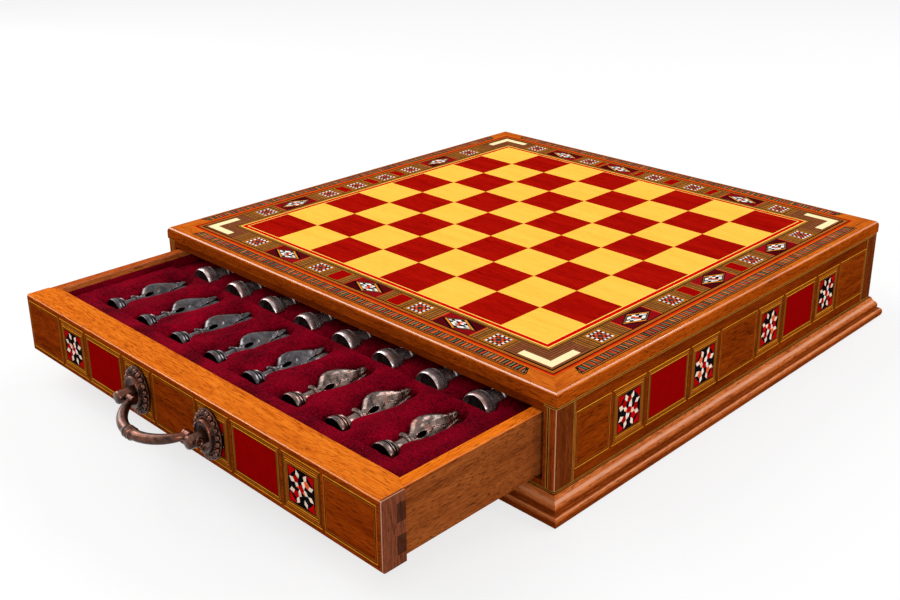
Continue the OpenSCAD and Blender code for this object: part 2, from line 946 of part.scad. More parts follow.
base_moulding();
bottom_board();
corner_posts();
side_panels();
drawer_rails();
partition();
drawer_runners();
drawer_kickers();
top_board();
top_rim();
light_squares();
dark_squares();
field_lines_yellow();
field_line_red();
border_band();
border_mosaics();
border_rhombi();
border_red_tiles();
bone_corners();
border_line();
edge_strips();
case_stringing();
side_frames();
side_red_tiles();
side_mosaics();
front() drawer_face();  // front_face
front() drawer_sides();  // front_sides
front() drawer_back();  // front_back
front() drawer_bottom();  // front_bottom
front() drawer_frames();  // front_frames
front() drawer_red_tiles();  // front_red_tiles
front() drawer_mosaics();  // front_mosaics
front() drawer_lining();  // front_lining
front() velvet_tray();  // front_tray
front() handle_roses();  // front_roses
front() handle_posts();  // front_posts
front() handle_screws();  // front_screws
front() handle_bail();  // front_bail
front() drawer_pawns();  // front_pawns
front() drawer_rooks();  // front_rooks
front() drawer_knights();  // front_knights
front() drawer_bishops();  // front_bishops
front() drawer_queen();  // front_queen
front() drawer_king();  // front_king
rear() drawer_face();  // rear_face
rear() drawer_sides();  // rear_sides
rear() drawer_back();  // rear_back
rear() drawer_bottom();  // rear_bottom
rear() drawer_frames();  // rear_frames
rear() drawer_red_tiles();  // rear_red_tiles
rear() drawer_mosaics();  // rear_mosaics
rear() drawer_lining();  // rear_lining
rear() velvet_tray();  // rear_tray
rear() handle_roses();  // rear_roses
rear() handle_posts();  // rear_posts
rear() handle_screws();  // rear_screws
rear() handle_bail();  // rear_bail
rear() drawer_pawns();  // rear_pawns
rear() {  // rear_officers
  drawer_rooks();
  drawer_knights();
  drawer_bishops();
  drawer_queen();
  drawer_king();
}
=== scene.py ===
"""Chess box with two drawers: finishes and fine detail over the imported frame."""
import math
import random
import bmesh
import bpy
import numpy as np
from mathutils import Matrix, Vector


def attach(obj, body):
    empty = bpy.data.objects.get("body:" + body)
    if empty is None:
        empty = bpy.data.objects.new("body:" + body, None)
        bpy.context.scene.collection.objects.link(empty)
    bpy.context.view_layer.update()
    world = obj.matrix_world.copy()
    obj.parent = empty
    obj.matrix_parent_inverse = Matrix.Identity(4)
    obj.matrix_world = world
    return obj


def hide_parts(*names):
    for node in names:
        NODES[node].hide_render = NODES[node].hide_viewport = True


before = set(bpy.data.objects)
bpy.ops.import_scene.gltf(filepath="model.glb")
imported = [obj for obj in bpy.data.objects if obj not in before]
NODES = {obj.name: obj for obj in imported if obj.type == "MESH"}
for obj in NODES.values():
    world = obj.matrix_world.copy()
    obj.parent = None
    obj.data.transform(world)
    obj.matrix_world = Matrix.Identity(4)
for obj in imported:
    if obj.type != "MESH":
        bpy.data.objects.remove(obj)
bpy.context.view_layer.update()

# ---- sizes of the box, in millimetres ----
HALF = 200.0  # half the side of the top
CASE_H, TOP_Z, BASE_H = 82.0, 72.5, 16.0  # top of the box, underside of the top board, top of the base
POST_W, STRING_W = 16.0, 1.5  # corner post, stringing let into the case
INLAY, PROUD = 1.2, 0.05  # thickness of the veneer pieces, and how far the finest stand out
OPEN = 125.0  # the front drawer stands this far open
# half sides of the outlines on the top: field, red line, striped band, lines outside it
FIELD, RED_IN, RED_OUT, BAND_IN, BAND_OUT, LINE_OUT = 154.0, 154.8, 157.8, 158.8, 180.3, 185.2
STRIP_LEN = 343.0  # mosaic strip along each edge of the top
TILE_Z, PITCH = 44.0, 0.2189*190.5  # middle of the framed panels, and their distance
SIDE_SHIFT = -4.4  # the panels of a side sit this far off its middle
TRAY_Z0, TRAY_TOP = 30.5, 60.0
TRAY_X, TRAY_Y0, TRAY_Y1 = 176.8, -176.2, -10.0
PIECE_PITCH = (TRAY_X - 12.8)/4  # distance between two chessmen
PAWN_Y, PAWN_AXIS = -158.0, 53.16  # foot and axis height of the pawns
OFFICER_Y, OFFICER_AXIS = -83.0, 52.74
HANDLE_X, HANDLE_Z, PIVOT_OUT = 39.5, 44.5, 11.0  # a post's place, and how far out the bail turns


def srgb(r, g, b):
    """Colour written as 0-255 screen values, as linear RGBA."""
    return tuple((c/255/12.92 if c <= 10 else ((c/255 + 0.055)/1.055)**2.4) for c in (r, g, b)) + (1.0,)


# ---- node graphs ----

class Graph:
    """Adds nodes to a tree and links them by socket name."""

    def __init__(self, tree):
        self.tree = tree

    def add(self, kind, inputs=None, **props):
        node = self.tree.nodes.new(kind)
        for key, value in props.items():
            setattr(node, key, value)
        for key, value in (inputs or {}).items():
            self.feed(node.inputs[key], value)
        return node

    def feed(self, socket, value):
        if isinstance(value, bpy.types.NodeSocket):
            self.tree.links.new(value, socket)
        elif value is not None:
            socket.default_value = value

    def math(self, op, a, b=None, clamp=False):
        return self.add("ShaderNodeMath", {0: a, 1: b}, operation=op, use_clamp=clamp).outputs[0]

    def plus(self, a, b):
        return self.math("ADD", a, b)

    def times(self, a, b, clamp=False):
        return self.math("MULTIPLY", a, b, clamp)

    def above(self, value, limit):
        return self.math("GREATER_THAN", value, limit)

    def below(self, value, limit):
        return self.math("LESS_THAN", value, limit)

    def larger(self, a, b):
        return self.math("MAXIMUM", a, b)

    def scaled(self, vector, by):
        return self.add("ShaderNodeVectorMath", {0: vector, 1: by}, operation="MULTIPLY").outputs["Vector"]

    def shifted(self, vector, by):
        return self.add("ShaderNodeVectorMath", {0: vector, 1: by}, operation="ADD").outputs["Vector"]

    def vector(self, x=0.0, y=0.0, z=0.0):
        return self.add("ShaderNodeCombineXYZ", {0: x, 1: y, 2: z}).outputs[0]

    def parts(self, vector):
        return self.add("ShaderNodeSeparateXYZ", {0: vector}).outputs

    def mix(self, fac, a, b):
        return self.add("ShaderNodeMix", {0: fac, 6: a, 7: b}, data_type="RGBA").outputs[2]

    def choose(self, fac, a, b):
        return self.add("ShaderNodeMix", {0: fac, 4: a, 5: b}, data_type="VECTOR").outputs[1]

    def noise(self, vector, scale=1.0, detail=2.0, rough=0.5):
        return self.add("ShaderNodeTexNoise", {"Vector": vector, "Scale": scale, "Detail": detail,
                                               "Roughness": rough}).outputs[0]

    def span(self, value, lo, hi, a=0.0, b=1.0):
        """Maps lo..hi onto a..b and holds it there."""
        return self.add("ShaderNodeMapRange", {0: value, 1: lo, 2: hi, 3: a, 4: b}).outputs[0]

    def bands(self, fac, stops):
        """Colour ramp with sharp steps."""
        node = self.add("ShaderNodeValToRGB", {0: fac})
        band = node.color_ramp
        band.interpolation = "CONSTANT"
        while len(band.elements) < len(stops):
            band.elements.new(1.0)
        for element, (at, colour) in zip(band.elements, stops):
            element.position = at
            element.color = colour
        return node.outputs[0]

    def lines(self, distance, start, widths):
        """Sharp bands across a distance: widths are (millimetres, colour)."""
        total = sum(w for w, _ in widths)
        stops, at = [], 0.0
        for w, colour in widths:
            stops.append((at/total, colour))
            at += w
        return self.bands(self.span(distance, start, start + total), stops)


KINDS = {"v": "NodeSocketVector", "c": "NodeSocketColor", "f": "NodeSocketFloat", "m": "NodeSocketMaterial",
         "g": "NodeSocketGeometry", "i": "NodeSocketInt"}
MM = (1000, 1000, 1000)  # from metres to millimetres


def new_group(name, kind, inputs, outputs):
    """A node group with named sockets; inputs and outputs are (name, letter of KINDS, default)."""
    tree = bpy.data.node_groups.new(name, kind)
    for label, letter, *default in inputs:
        socket = tree.interface.new_socket(name=label, in_out="INPUT", socket_type=KINDS[letter])
        if default:
            socket.default_value = default[0]
    for label, letter in outputs:
        tree.interface.new_socket(name=label, in_out="OUTPUT", socket_type=KINDS[letter])
    g = Graph(tree)
    source = g.add("NodeGroupInput")
    sink = g.add("NodeGroupOutput")
    return g, source.outputs, sink.inputs


def wood_grain_group():
    """Grain along X, input in metres: broad figure, fibres and short dark pores."""
    g, i, o = new_group("Wood grain", "ShaderNodeTree",
                        [("Vector", "v"), ("Pale", "c"), ("Mid", "c"), ("Deep", "c"),
                         ("Figure", "f", 0.55), ("Pores", "f", 0.6), ("Fineness", "f", 1.0)],
                        [("Color", "c"), ("Roughness", "f"), ("Height", "f")])
    mm = g.scaled(i["Vector"], MM)
    warp = g.noise(g.scaled(mm, (0.010, 0.03, 0.03)), 1.0, 1)
    bent = g.shifted(mm, g.vector(0.0, g.times(warp, 14.0), g.times(warp, 9.0)))
    fine = g.add("ShaderNodeVectorMath", {0: bent, "Scale": i["Fineness"]}, operation="SCALE").outputs[0]
    broad = g.noise(g.scaled(bent, (0.011, 0.13, 0.13)), 1.0, 3, 0.6)
    fibre = g.noise(g.scaled(fine, (0.07, 1.3, 1.3)), 1.0, 3, 0.65)
    dash = g.noise(g.scaled(fine, (0.16, 2.1, 2.1)), 1.0, 1)
    pores = g.times(g.span(dash, 0.56, 0.68), i["Pores"])
    t = g.plus(g.times(g.span(broad, 0.3, 0.7), i["Figure"]),
               g.times(g.span(fibre, 0.3, 0.7), g.math("SUBTRACT", 1.0, i["Figure"])))
    tone = g.mix(g.span(t, 0.0, 0.5), i["Deep"], i["Mid"])
    tone = g.mix(g.span(t, 0.5, 1.0), tone, i["Pale"])
    dark = g.mix(0.55, i["Deep"], (0.01, 0.003, 0.001, 1))
    g.feed(o["Color"], g.mix(pores, tone, dark))
    g.feed(o["Roughness"], g.plus(0.30, g.plus(g.times(fibre, 0.16), g.times(pores, 0.2))))
    g.feed(o["Height"], g.math("SUBTRACT", g.times(fibre, 0.5), pores))
    return g.tree


def velvet_group():
    """Short brushed pile: fine speckle and broad strokes where the pile lies over."""
    g, i, o = new_group("Velvet pile", "ShaderNodeTree", [("Vector", "v"), ("Lit", "c"), ("Deep", "c")],
                        [("Color", "c"), ("Height", "f")])
    mm = g.scaled(i["Vector"], MM)
    speck = g.noise(mm, 0.95, 3, 0.7)
    stroke = g.noise(g.scaled(mm, (0.05, 0.025, 0.05)), 1.0, 2, 0.5)
    tuft = g.noise(g.scaled(mm, (0.5, 0.35, 0.5)), 1.0, 2, 0.5)
    t = g.plus(g.times(g.span(speck, 0.3, 0.7), 0.6),
               g.plus(g.times(g.span(stroke, 0.33, 0.67), 0.26), g.times(g.span(tuft, 0.3, 0.7), 0.14)))
    g.feed(o["Color"], g.mix(g.span(t, 0.2, 0.8), i["Deep"], i["Lit"]))
    g.feed(o["Height"], g.plus(speck, g.times(tuft, 0.4)))
    return g.tree


def patina_group():
    """Cast metal with tarnish in patches, worn bare in others."""
    g, i, o = new_group("Patina", "ShaderNodeTree",
                        [("Vector", "v"), ("Bare", "c"), ("Tarnish", "c"), ("Warm", "c"), ("Wear", "f", 0.5)],
                        [("Color", "c"), ("Roughness", "f"), ("Height", "f")])
    mm = g.scaled(i["Vector"], MM)
    patch = g.span(g.noise(mm, 0.22, 3, 0.55), 0.36, 0.64)
    grit = g.noise(mm, 2.6, 3, 0.6)
    warm = g.span(g.noise(g.shifted(mm, (31, 7, 55)), 0.10, 2), 0.5, 0.66)
    bare = g.times(g.plus(patch, g.times(g.span(grit, 0.35, 0.65), 0.35)), i["Wear"], clamp=True)
    tone = g.mix(bare, i["Tarnish"], i["Bare"])
    g.feed(o["Color"], g.mix(g.times(warm, 0.75), tone, i["Warm"]))
    g.feed(o["Roughness"], g.span(bare, 0.0, 1.0, 0.42, 0.19))
    g.feed(o["Height"], g.plus(g.times(grit, 0.35), patch))
    return g.tree


def veneer_group():
    """Small variation inside one piece of veneer: fine grain and a slight mottle."""
    g, i, o = new_group("Veneer tone", "ShaderNodeTree", [("Vector", "v"), ("Tint", "c"), ("Depth", "f", 0.3)],
                        [("Color", "c"), ("Height", "f")])
    mm = g.scaled(i["Vector"], MM)
    grain = g.noise(g.scaled(mm, (0.35, 1.6, 1.6)), 1.0, 3, 0.6)
    mottle = g.noise(mm, 0.22, 2)
    t = g.plus(g.times(grain, 0.6), g.times(mottle, 0.4))
    low = g.math("SUBTRACT", 1.0, i["Depth"])
    shade = g.plus(low, g.times(g.span(t, 0.35, 0.65), g.times(i["Depth"], 1.5)))
    g.feed(o["Color"], g.scaled(i["Tint"], g.vector(shade, shade, shade)))
    g.feed(o["Height"], grain)
    return g.tree


GRAIN = wood_grain_group()
VELVET = velvet_group()
PATINA = patina_group()
VENEER = veneer_group()

# veneer colours
PLAIN = (1, 1, 1, 1)
BLACK, INK, DARK, BROWN = srgb(20, 14, 10), srgb(16, 12, 14), srgb(56, 26, 8), srgb(104, 52, 12)
RUST, TAN, AMBER = srgb(166, 84, 18), srgb(138, 78, 20), srgb(196, 104, 24)
GOLD, YELLOW, CREAM = srgb(212, 136, 30), srgb(226, 150, 40), srgb(232, 208, 186)
PEARL, SMOKE, CORAL, TEAL = srgb(238, 238, 232), srgb(150, 150, 150), srgb(226, 96, 52), srgb(40, 62, 62)


class Finish(Graph):
    """A material with one Principled shader; sockets are set or fed by name."""

    def __init__(self, name):
        material = bpy.data.materials.new(name)
        material.use_nodes = True
        super().__init__(material.node_tree)
        self.material = material
        self.shader = material.node_tree.nodes["Principled BSDF"]
        self.place = self.add("ShaderNodeTexCoord").outputs["Object"]

    def set(self, **values):
        for key, value in values.items():
            self.feed(self.shader.inputs[key.replace("_", " ")], value)
        return self

    def colour(self):
        """What feeds the colour so far."""
        return self.shader.inputs["Base Color"].links[0].from_socket

    def turned(self, x=0.0, y=0.0, z=0.0):
        return self.add("ShaderNodeMapping", {"Vector": self.place,
                                              "Rotation": [math.radians(a) for a in (x, y, z)]}).outputs[0]

    def group(self, tree, **inputs):
        node = self.add("ShaderNodeGroup", node_tree=tree)
        for key, value in inputs.items():
            self.feed(node.inputs[key], value)
        return node.outputs

    def bump(self, height, strength, distance):
        node = self.add("ShaderNodeBump", {"Strength": strength, "Distance": distance, "Height": height})
        self.feed(self.shader.inputs["Normal"], node.outputs[0])
        return self

    def normal(self):
        """The three parts of the surface normal."""
        return self.parts(self.add("ShaderNodeNewGeometry").outputs["Normal"])

    def on_edges(self, amount):
        """Mask of the rounded edges, quiet on the flats: it weights the lacquer, and the painted highlight on wood
        edges.
        """
        a, b, c = [self.math("ABSOLUTE", part) for part in self.normal()]
        return self.span(self.larger(a, self.larger(b, c)), 0.81, 0.74, 0.0, amount)

    def axes(self):
        """Position in millimetres: signed x, y, z, and |x|, |y|."""
        x, y, z = self.parts(self.scaled(self.place, MM))
        return x, y, z, self.math("ABSOLUTE", x), self.math("ABSOLUTE", y)


# ---- woods ----

CASE_TONES = ((140, 58, 9), (112, 41, 4), (70, 20, 2))
# material name, run of the grain, pale, middle and deep tone, what else differs
WOODS = {
    "case_x": ("case_wood_x", "x", CASE_TONES, {}),
    "case_y": ("case_wood_y", "y", CASE_TONES, {}),
    "rim": ("rim_wood", "frame", ((230, 126, 40), (198, 96, 24), (140, 54, 10)), {"polish": 0.8}),
    "base": ("base_wood", "frame", ((158, 72, 20), (128, 52, 10), (84, 28, 4)), {}),
    "post": ("post_wood", "z", ((128, 62, 22), (100, 42, 12), (64, 24, 6)), {"pores": 0.8}),
    "drawer": ("drawer_wood", "y", ((162, 90, 40), (134, 67, 27), (84, 38, 12)),
               {"pores": 0.9, "figure": 0.45, "fineness": 1.3}),
    "front": ("drawer_front_wood", "x", ((238, 136, 40), (220, 110, 26), (164, 64, 10)),
              {"figure": 0.3, "pores": 0.75}),
    "board": ("plain_board", "y", ((196, 140, 86), (172, 114, 62), (136, 82, 40)), {"polish": 0.0}),
    "panel": ("panel_wood", "x", ((150, 62, 8), (126, 46, 5), (82, 24, 2)), {"pores": 0.8, "fineness": 0.8}),
    "panel_side": ("side_panel_wood", "y", ((146, 62, 8), (122, 47, 5), (80, 24, 2)),
                   {"pores": 0.8, "fineness": 0.8})}
PAINTED_EDGE_HIGHLIGHT = srgb(236, 158, 110)  # painted highlight: a pale pink painted on the rounded edges
END_LINE = (193.0, 195.0)  # upright lines of the case beside the drawers: from and to
# where a drawer's inner walls end, its top edges and end faces begin
INNER_X, TOP_EDGE_Z, FACE_TOP_Z, END_X, PIN_X = 180.3, 65.2, 65.0, 188.6, 189.0
LEFT_X = -170.0  # the side board on the left lies beyond this


def grain_direction(f, along):
    """Object coordinates turned so that the grain runs along X."""
    if along == "x":
        return f.place
    if along == "y":
        return f.turned(z=90)
    if along == "z":
        return f.turned(y=90)
    x, y, z, ax, ay = f.axes()
    return f.choose(f.above(ax, ay), f.place, f.turned(z=90))


def grained(f, along, tones, **look):
    pale, mid, deep = (srgb(*tone) for tone in tones)
    return f.group(GRAIN, Vector=grain_direction(f, along), Pale=pale, Mid=mid, Deep=deep, **look)


def wood(name, along, tones, figure=0.5, pores=0.6, polish=0.6, fineness=1.0):
    """Matt wood whose rounded edges carry the polish."""
    f = Finish(name)
    w = grained(f, along, tones, Figure=figure, Pores=pores, Fineness=fineness)
    f.set(Base_Color=w["Color"], Roughness=w["Roughness"], Specular_IOR_Level=0.0)
    if polish:
        f.set(Coat_Weight=f.on_edges(polish), Coat_Roughness=0.06, Coat_IOR=2.1)
    return f.bump(w["Height"], 0.12, 0.0002)


def tone_where(f, mask, tones, along):
    """Lays a second wood colour over a wood finish where the mask is 1."""
    other = grained(f, along, tones, Figure=0.35, Pores=0.8)
    f.set(Base_Color=f.mix(mask, f.colour(), other["Color"]))


def wood_finishes():
    """All woods, with other tones on end grain and the drawer sides' upper edges, and painted light and shade on
    inner drawer faces, moulding, rim, the left drawer edge and rounded edges.
    """
    made = {key: wood(name, along, tones, **look) for key, (name, along, tones, look) in WOODS.items()}
    rim, base, post, sides, front = (made[key] for key in ("rim", "base", "post", "drawer", "front"))
    # painted light: the sloping upper side of the moulding is painted paler, as where light falls on it
    up = base.normal()[2]
    painted_light_slope = base.times(base.span(up, 0.12, 0.5), base.span(up, 0.99, 0.86))
    tone_where(base, painted_light_slope, ((222, 134, 76), (196, 106, 52), (146, 64, 24)), "frame")
    x, y, z, ax, ay = post.axes()
    tone_where(post, post.above(ay, HALF - 0.6), ((164, 76, 26), (134, 54, 14), (88, 32, 7)), "z")
    x, y, z, ax, ay = rim.axes()
    # painted shade: the rim's upright faces, below its top, are painted darker than the top
    tone_where(rim, rim.below(z, CASE_H - 2.0), ((176, 82, 14), (150, 62, 7), (100, 34, 3)), "frame")
    x, y, z, ax, ay = sides.axes()
    # painted light: the inner faces of the drawer sides are painted paler, standing in for light on these shaded
    # walls
    tone_where(sides, sides.below(ax, INNER_X), ((214, 122, 60), (184, 96, 42), (132, 60, 20)), "y")
    top = sides.above(z, TOP_EDGE_Z)
    tone_where(sides, top, ((244, 140, 40), (228, 114, 22), (176, 68, 8)), "y")
    # painted shade: the upper edge of the left drawer side is painted darker than the right one
    painted_shade_left_top = sides.times(top, sides.below(x, LEFT_X))
    tone_where(sides, painted_shade_left_top, ((206, 104, 44), (180, 82, 30), (130, 50, 14)), "y")
    tone_where(sides, sides.above(ax, PIN_X), ((92, 50, 32), (72, 38, 24), (46, 22, 14)), "z")
    x, y, z, ax, ay = front.axes()
    tone_where(front, front.above(ax, END_X), ((140, 78, 50), (114, 60, 39), (76, 36, 21)), "z")
    face = front.times(front.below(z, FACE_TOP_Z), front.below(ax, END_X))
    tone_where(front, face, ((152, 66, 10), (128, 48, 6), (84, 26, 3)), "x")
    # painted highlight: the rounded edges of these woods are painted towards a pale pink
    for f in (rim, base, post, sides, front):
        f.set(Base_Color=f.mix(f.on_edges(0.55), f.colour(), PAINTED_EDGE_HIGHLIGHT))
    return made


# ---- veneers, velvet and metals ----

def veneered(f, tint, depth, rough=0.36):
    """Matt veneer of the given colour; returns its little height for a bump."""
    v = f.group(VENEER, Vector=f.place, Tint=tint, Depth=depth)
    f.set(Base_Color=v["Color"], Roughness=rough, Specular_IOR_Level=0.0)
    return v["Height"]


def square_finish(name, tones, pores):
    """Fine-grained veneer of the playing squares."""
    return wood(name, "x", tones, figure=0.35, pores=pores, polish=0.0, fineness=1.4)


def border_line_finish():
    """Stringing round the band: brown, black, red and orange lines."""
    f = Finish("border_stringing")
    x, y, z, ax, ay = f.axes()
    tone = f.lines(f.larger(ax, ay), BAND_OUT,
                   [(0.9, srgb(190, 104, 36)), (0.3, srgb(110, 54, 18)), (0.9, srgb(186, 98, 32)), (0.9, BLACK),
                    (1.0, srgb(190, 28, 5)), (0.9, srgb(206, 70, 14))])
    veneered(f, tone, 0.25)
    return f


def case_stringing_finish():
    """Lines let into the case: black between yellow along the run of the line."""
    f = Finish("case_stringing")
    x, y, z, ax, ay = f.axes()
    low = f.below(z, BASE_H + STRING_W)
    high = f.above(z, TOP_Z - STRING_W)
    on_side = f.above(ax, HALF - 1.0)
    upright = f.mix(on_side, f.span(ax, *END_LINE), f.span(ay, HALF - POST_W - STRING_W, HALF - POST_W))
    flat = f.mix(low, f.span(z, TOP_Z - STRING_W, TOP_Z), f.span(z, BASE_H, BASE_H + STRING_W))
    dull = srgb(172, 116, 44)
    tone = f.bands(f.mix(f.larger(low, high), upright, flat), [(0.0, dull), (0.3, BLACK), (0.7, dull)])
    veneered(f, tone, 0.3)
    return f


def tinted_finish(name, depth):
    """Veneer whose colour is written on each little piece."""
    f = Finish(name)
    tint = f.add("ShaderNodeAttribute", attribute_name="tint").outputs["Color"]
    return f.bump(veneered(f, tint, depth), 0.06, 0.0002)


def plain_finish(name, colour, rough, depth):
    """Veneer of one colour."""
    f = Finish(name)
    return f.bump(veneered(f, srgb(*colour), depth, rough), 0.05, 0.0002)


def velvet_finish():
    """Crimson velvet with a dull, slightly shining pile."""
    f = Finish("crimson_velvet")
    v = f.group(VELVET, Vector=f.place, Lit=srgb(147, 0, 29), Deep=srgb(28, 0, 4))
    f.set(Base_Color=v["Color"], Roughness=0.95, Specular_IOR_Level=0.02, Sheen_Weight=0.05,
          Sheen_Roughness=0.4, Sheen_Tint=srgb(235, 40, 80))
    return f.bump(v["Height"], 0.55, 0.0006)


def metal_finish(name, bare, tarnish, warm, wear, metallic=1.0, lacquer=0.2):
    """Patinated metal, with painted shade: undersides painted towards the tarnish, and faces square to the axis of
    the chessmen painted dark.
    """
    f = Finish(name)
    p = f.group(PATINA, Vector=f.place, Bare=srgb(*bare), Tarnish=srgb(*tarnish), Warm=srgb(*warm), Wear=wear)
    x, y, z = f.normal()
    # painted shade: faces turned downwards are painted towards the tarnish colour
    patina_and_painted_shade = f.mix(f.span(z, 0.35, -0.5, 0.0, 0.7), p["Color"], srgb(*tarnish))
    # painted shade: faces square to the axis of the chessmen, their hollow ends among them, are painted dark
    if "pewter" in name:
        patina_and_painted_shade = f.mix(f.span(f.math("ABSOLUTE", y), 0.93, 0.98, 0.0, 0.8), patina_and_painted_shade, srgb(38, 14, 12))
    f.set(Base_Color=patina_and_painted_shade, Metallic=metallic, Roughness=p["Roughness"],
          Coat_Weight=lacquer, Coat_Roughness=0.14, Coat_IOR=1.8)
    return f.bump(p["Height"], 0.06, 0.0004)


WOOD = wood_finishes()
LIGHT_SQUARE = square_finish("light_square", ((255, 202, 84), (253, 193, 72), (244, 174, 54)), 0.05)
DARK_SQUARE = square_finish("dark_square", ((184, 24, 10), (162, 12, 5), (112, 5, 2)), 0.35)
YELLOW_LINE = plain_finish("yellow_line", (255, 214, 96), 0.4, 0.1)
RED_LINE = plain_finish("red_line", (205, 6, 4), 0.4, 0.12)
RED_TILE = plain_finish("red_tile", (134, 3, 3), 0.36, 0.14)
BORDER_RED = plain_finish("border_red", (156, 6, 6), 0.36, 0.14)
BONE = plain_finish("bone", (255, 232, 178), 0.32, 0.06)
BORDER_LINE = border_line_finish()
STRINGING = case_stringing_finish()
TINTED = tinted_finish("marquetry", 0.22)
CRIMSON = velvet_finish()
PEWTER = metal_finish("pewter", (130, 108, 99), (24, 17, 16), (122, 78, 64), 0.72)
SILVER = metal_finish("worn_pewter", (206, 190, 188), (96, 78, 76), (160, 118, 108), 0.95, 0.75)
DARK_PEWTER = metal_finish("dark_pewter", (90, 86, 90), (18, 16, 18), (72, 56, 52), 0.72)
COPPER = metal_finish("antique_copper", (124, 78, 58), (26, 13, 9), (104, 52, 32), 0.62, lacquer=0.18)
STEEL = metal_finish("screw_steel", (190, 190, 190), (120, 120, 120), (150, 130, 110), 0.9)


def dress_nodes():
    """Gives every CAD node its finish."""
    plan = {"base_moulding": WOOD["base"], "corner_posts": WOOD["post"], "side_panels": WOOD["case_y"],
            "drawer_rails": WOOD["case_x"], "top_rim": WOOD["rim"], "light_squares": LIGHT_SQUARE,
            "dark_squares": DARK_SQUARE, "field_lines_yellow": YELLOW_LINE, "field_line_red": RED_LINE,
            "border_red_tiles": BORDER_RED, "bone_corners": BONE, "border_line": BORDER_LINE,
            "case_stringing": STRINGING, "side_red_tiles": RED_TILE}
    for name in ("bottom_board", "partition", "drawer_runners", "drawer_kickers", "top_board"):
        plan[name] = WOOD["board"]
    for name in ("border_band", "border_mosaics", "border_rhombi", "edge_strips", "side_frames", "side_mosaics"):
        plan[name] = TINTED
    parts = {"face": WOOD["front"], "sides": WOOD["drawer"], "back": WOOD["drawer"], "bottom": WOOD["board"],
             "frames": TINTED, "red_tiles": RED_TILE, "mosaics": TINTED, "lining": CRIMSON, "tray": CRIMSON,
             "roses": COPPER, "posts": COPPER, "screws": STEEL, "bail": COPPER}
    for name in ("pawns", "rooks", "knights", "bishops", "queen", "king", "officers"):
        parts[name] = PEWTER
    for side in ("front_", "rear_"):
        plan.update({side + key: value for key, value in parts.items()})
    for name, node in NODES.items():
        node.data.materials.clear()
        node.data.materials.append(plan[name].material)


# ---- meshes ----

def new_piece(name, verts, faces, finish, body, replaces=(), tints=None, smooth=0.0):
    """A mesh piece from points in millimetres. tints gives one colour per face; smooth is a crease angle."""
    mesh = bpy.data.meshes.new(name)
    mesh.from_pydata((np.asarray(verts, float)*0.001).tolist(), [], faces)
    if tints is not None:
        layer = mesh.color_attributes.new(name="tint", type="FLOAT_COLOR", domain="CORNER")
        colours = np.repeat(np.asarray(tints, float), [len(f) for f in faces], axis=0)
        layer.data.foreach_set("color", colours.ravel())
    mesh.materials.append(finish.material)
    solid = bmesh.new()
    solid.from_mesh(mesh)
    bmesh.ops.recalc_face_normals(solid, faces=solid.faces)
    solid.to_mesh(mesh)
    solid.free()
    piece = bpy.data.objects.new(name, mesh)
    bpy.context.scene.collection.objects.link(piece)
    if smooth:
        mesh.shade_smooth()
        mesh.set_sharp_from_angle(angle=math.radians(smooth))
    mesh.validate()
    mesh.update()
    return settle(piece, body, replaces)


def settle(piece, body, replaces=()):
    """Says what the piece rides on and the nodes it stands for."""
    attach(piece, body)
    if replaces:
        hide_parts(*replaces)
    return piece


def drawer_place(side, points):
    """Moves points of the closed drawer, front towards -Y, to where that drawer is."""
    p = np.asarray(points, float).copy()
    if side == "front":
        p[:, 1] -= OPEN
    else:
        p[:, :2] *= -1
    return p


def drawer_piece(side, name, shape, finish, node, smooth):
    """A piece of one drawer, its shape given as on the closed drawer in front."""
    verts, faces = shape
    return new_piece(side + "_" + name, drawer_place(side, verts), faces, finish, side + "_drawer",
                     [side + "_" + node], smooth=smooth)


def join(parts):
    """Several parts as one list of points and one of faces."""
    verts, faces, base = [], [], 0
    for v, f in parts:
        verts.append(np.asarray(v, float))
        faces += [[i + base for i in face] for face in f]
        base += len(v)
    return np.vstack(verts), faces


def tube_faces(rings, segments):
    """Faces between rings of points, and the two ends."""
    faces = []
    for k in range(rings - 1):
        for s in range(segments):
            a, b = k*segments + s, k*segments + (s + 1) % segments
            faces.append([a, b, b + segments, a + segments])
    return faces + [list(range(segments))[::-1], [(rings - 1)*segments + s for s in range(segments)]]


def mitred_sweep(corners, profile):
    """Profile carried round four corners (x, y, and the way outwards in x and y)."""
    n, verts, faces = len(profile), [], []
    for cx, cy, sx, sy in corners:
        verts += [(cx + sx*d, cy + sy*d, z) for d, z in profile]
    for k in range(4):
        a, b = k*n, ((k + 1) % 4)*n
        faces += [[a + j, b + j, b + (j + 1) % n, a + (j + 1) % n] for j in range(n)]
    return verts, faces


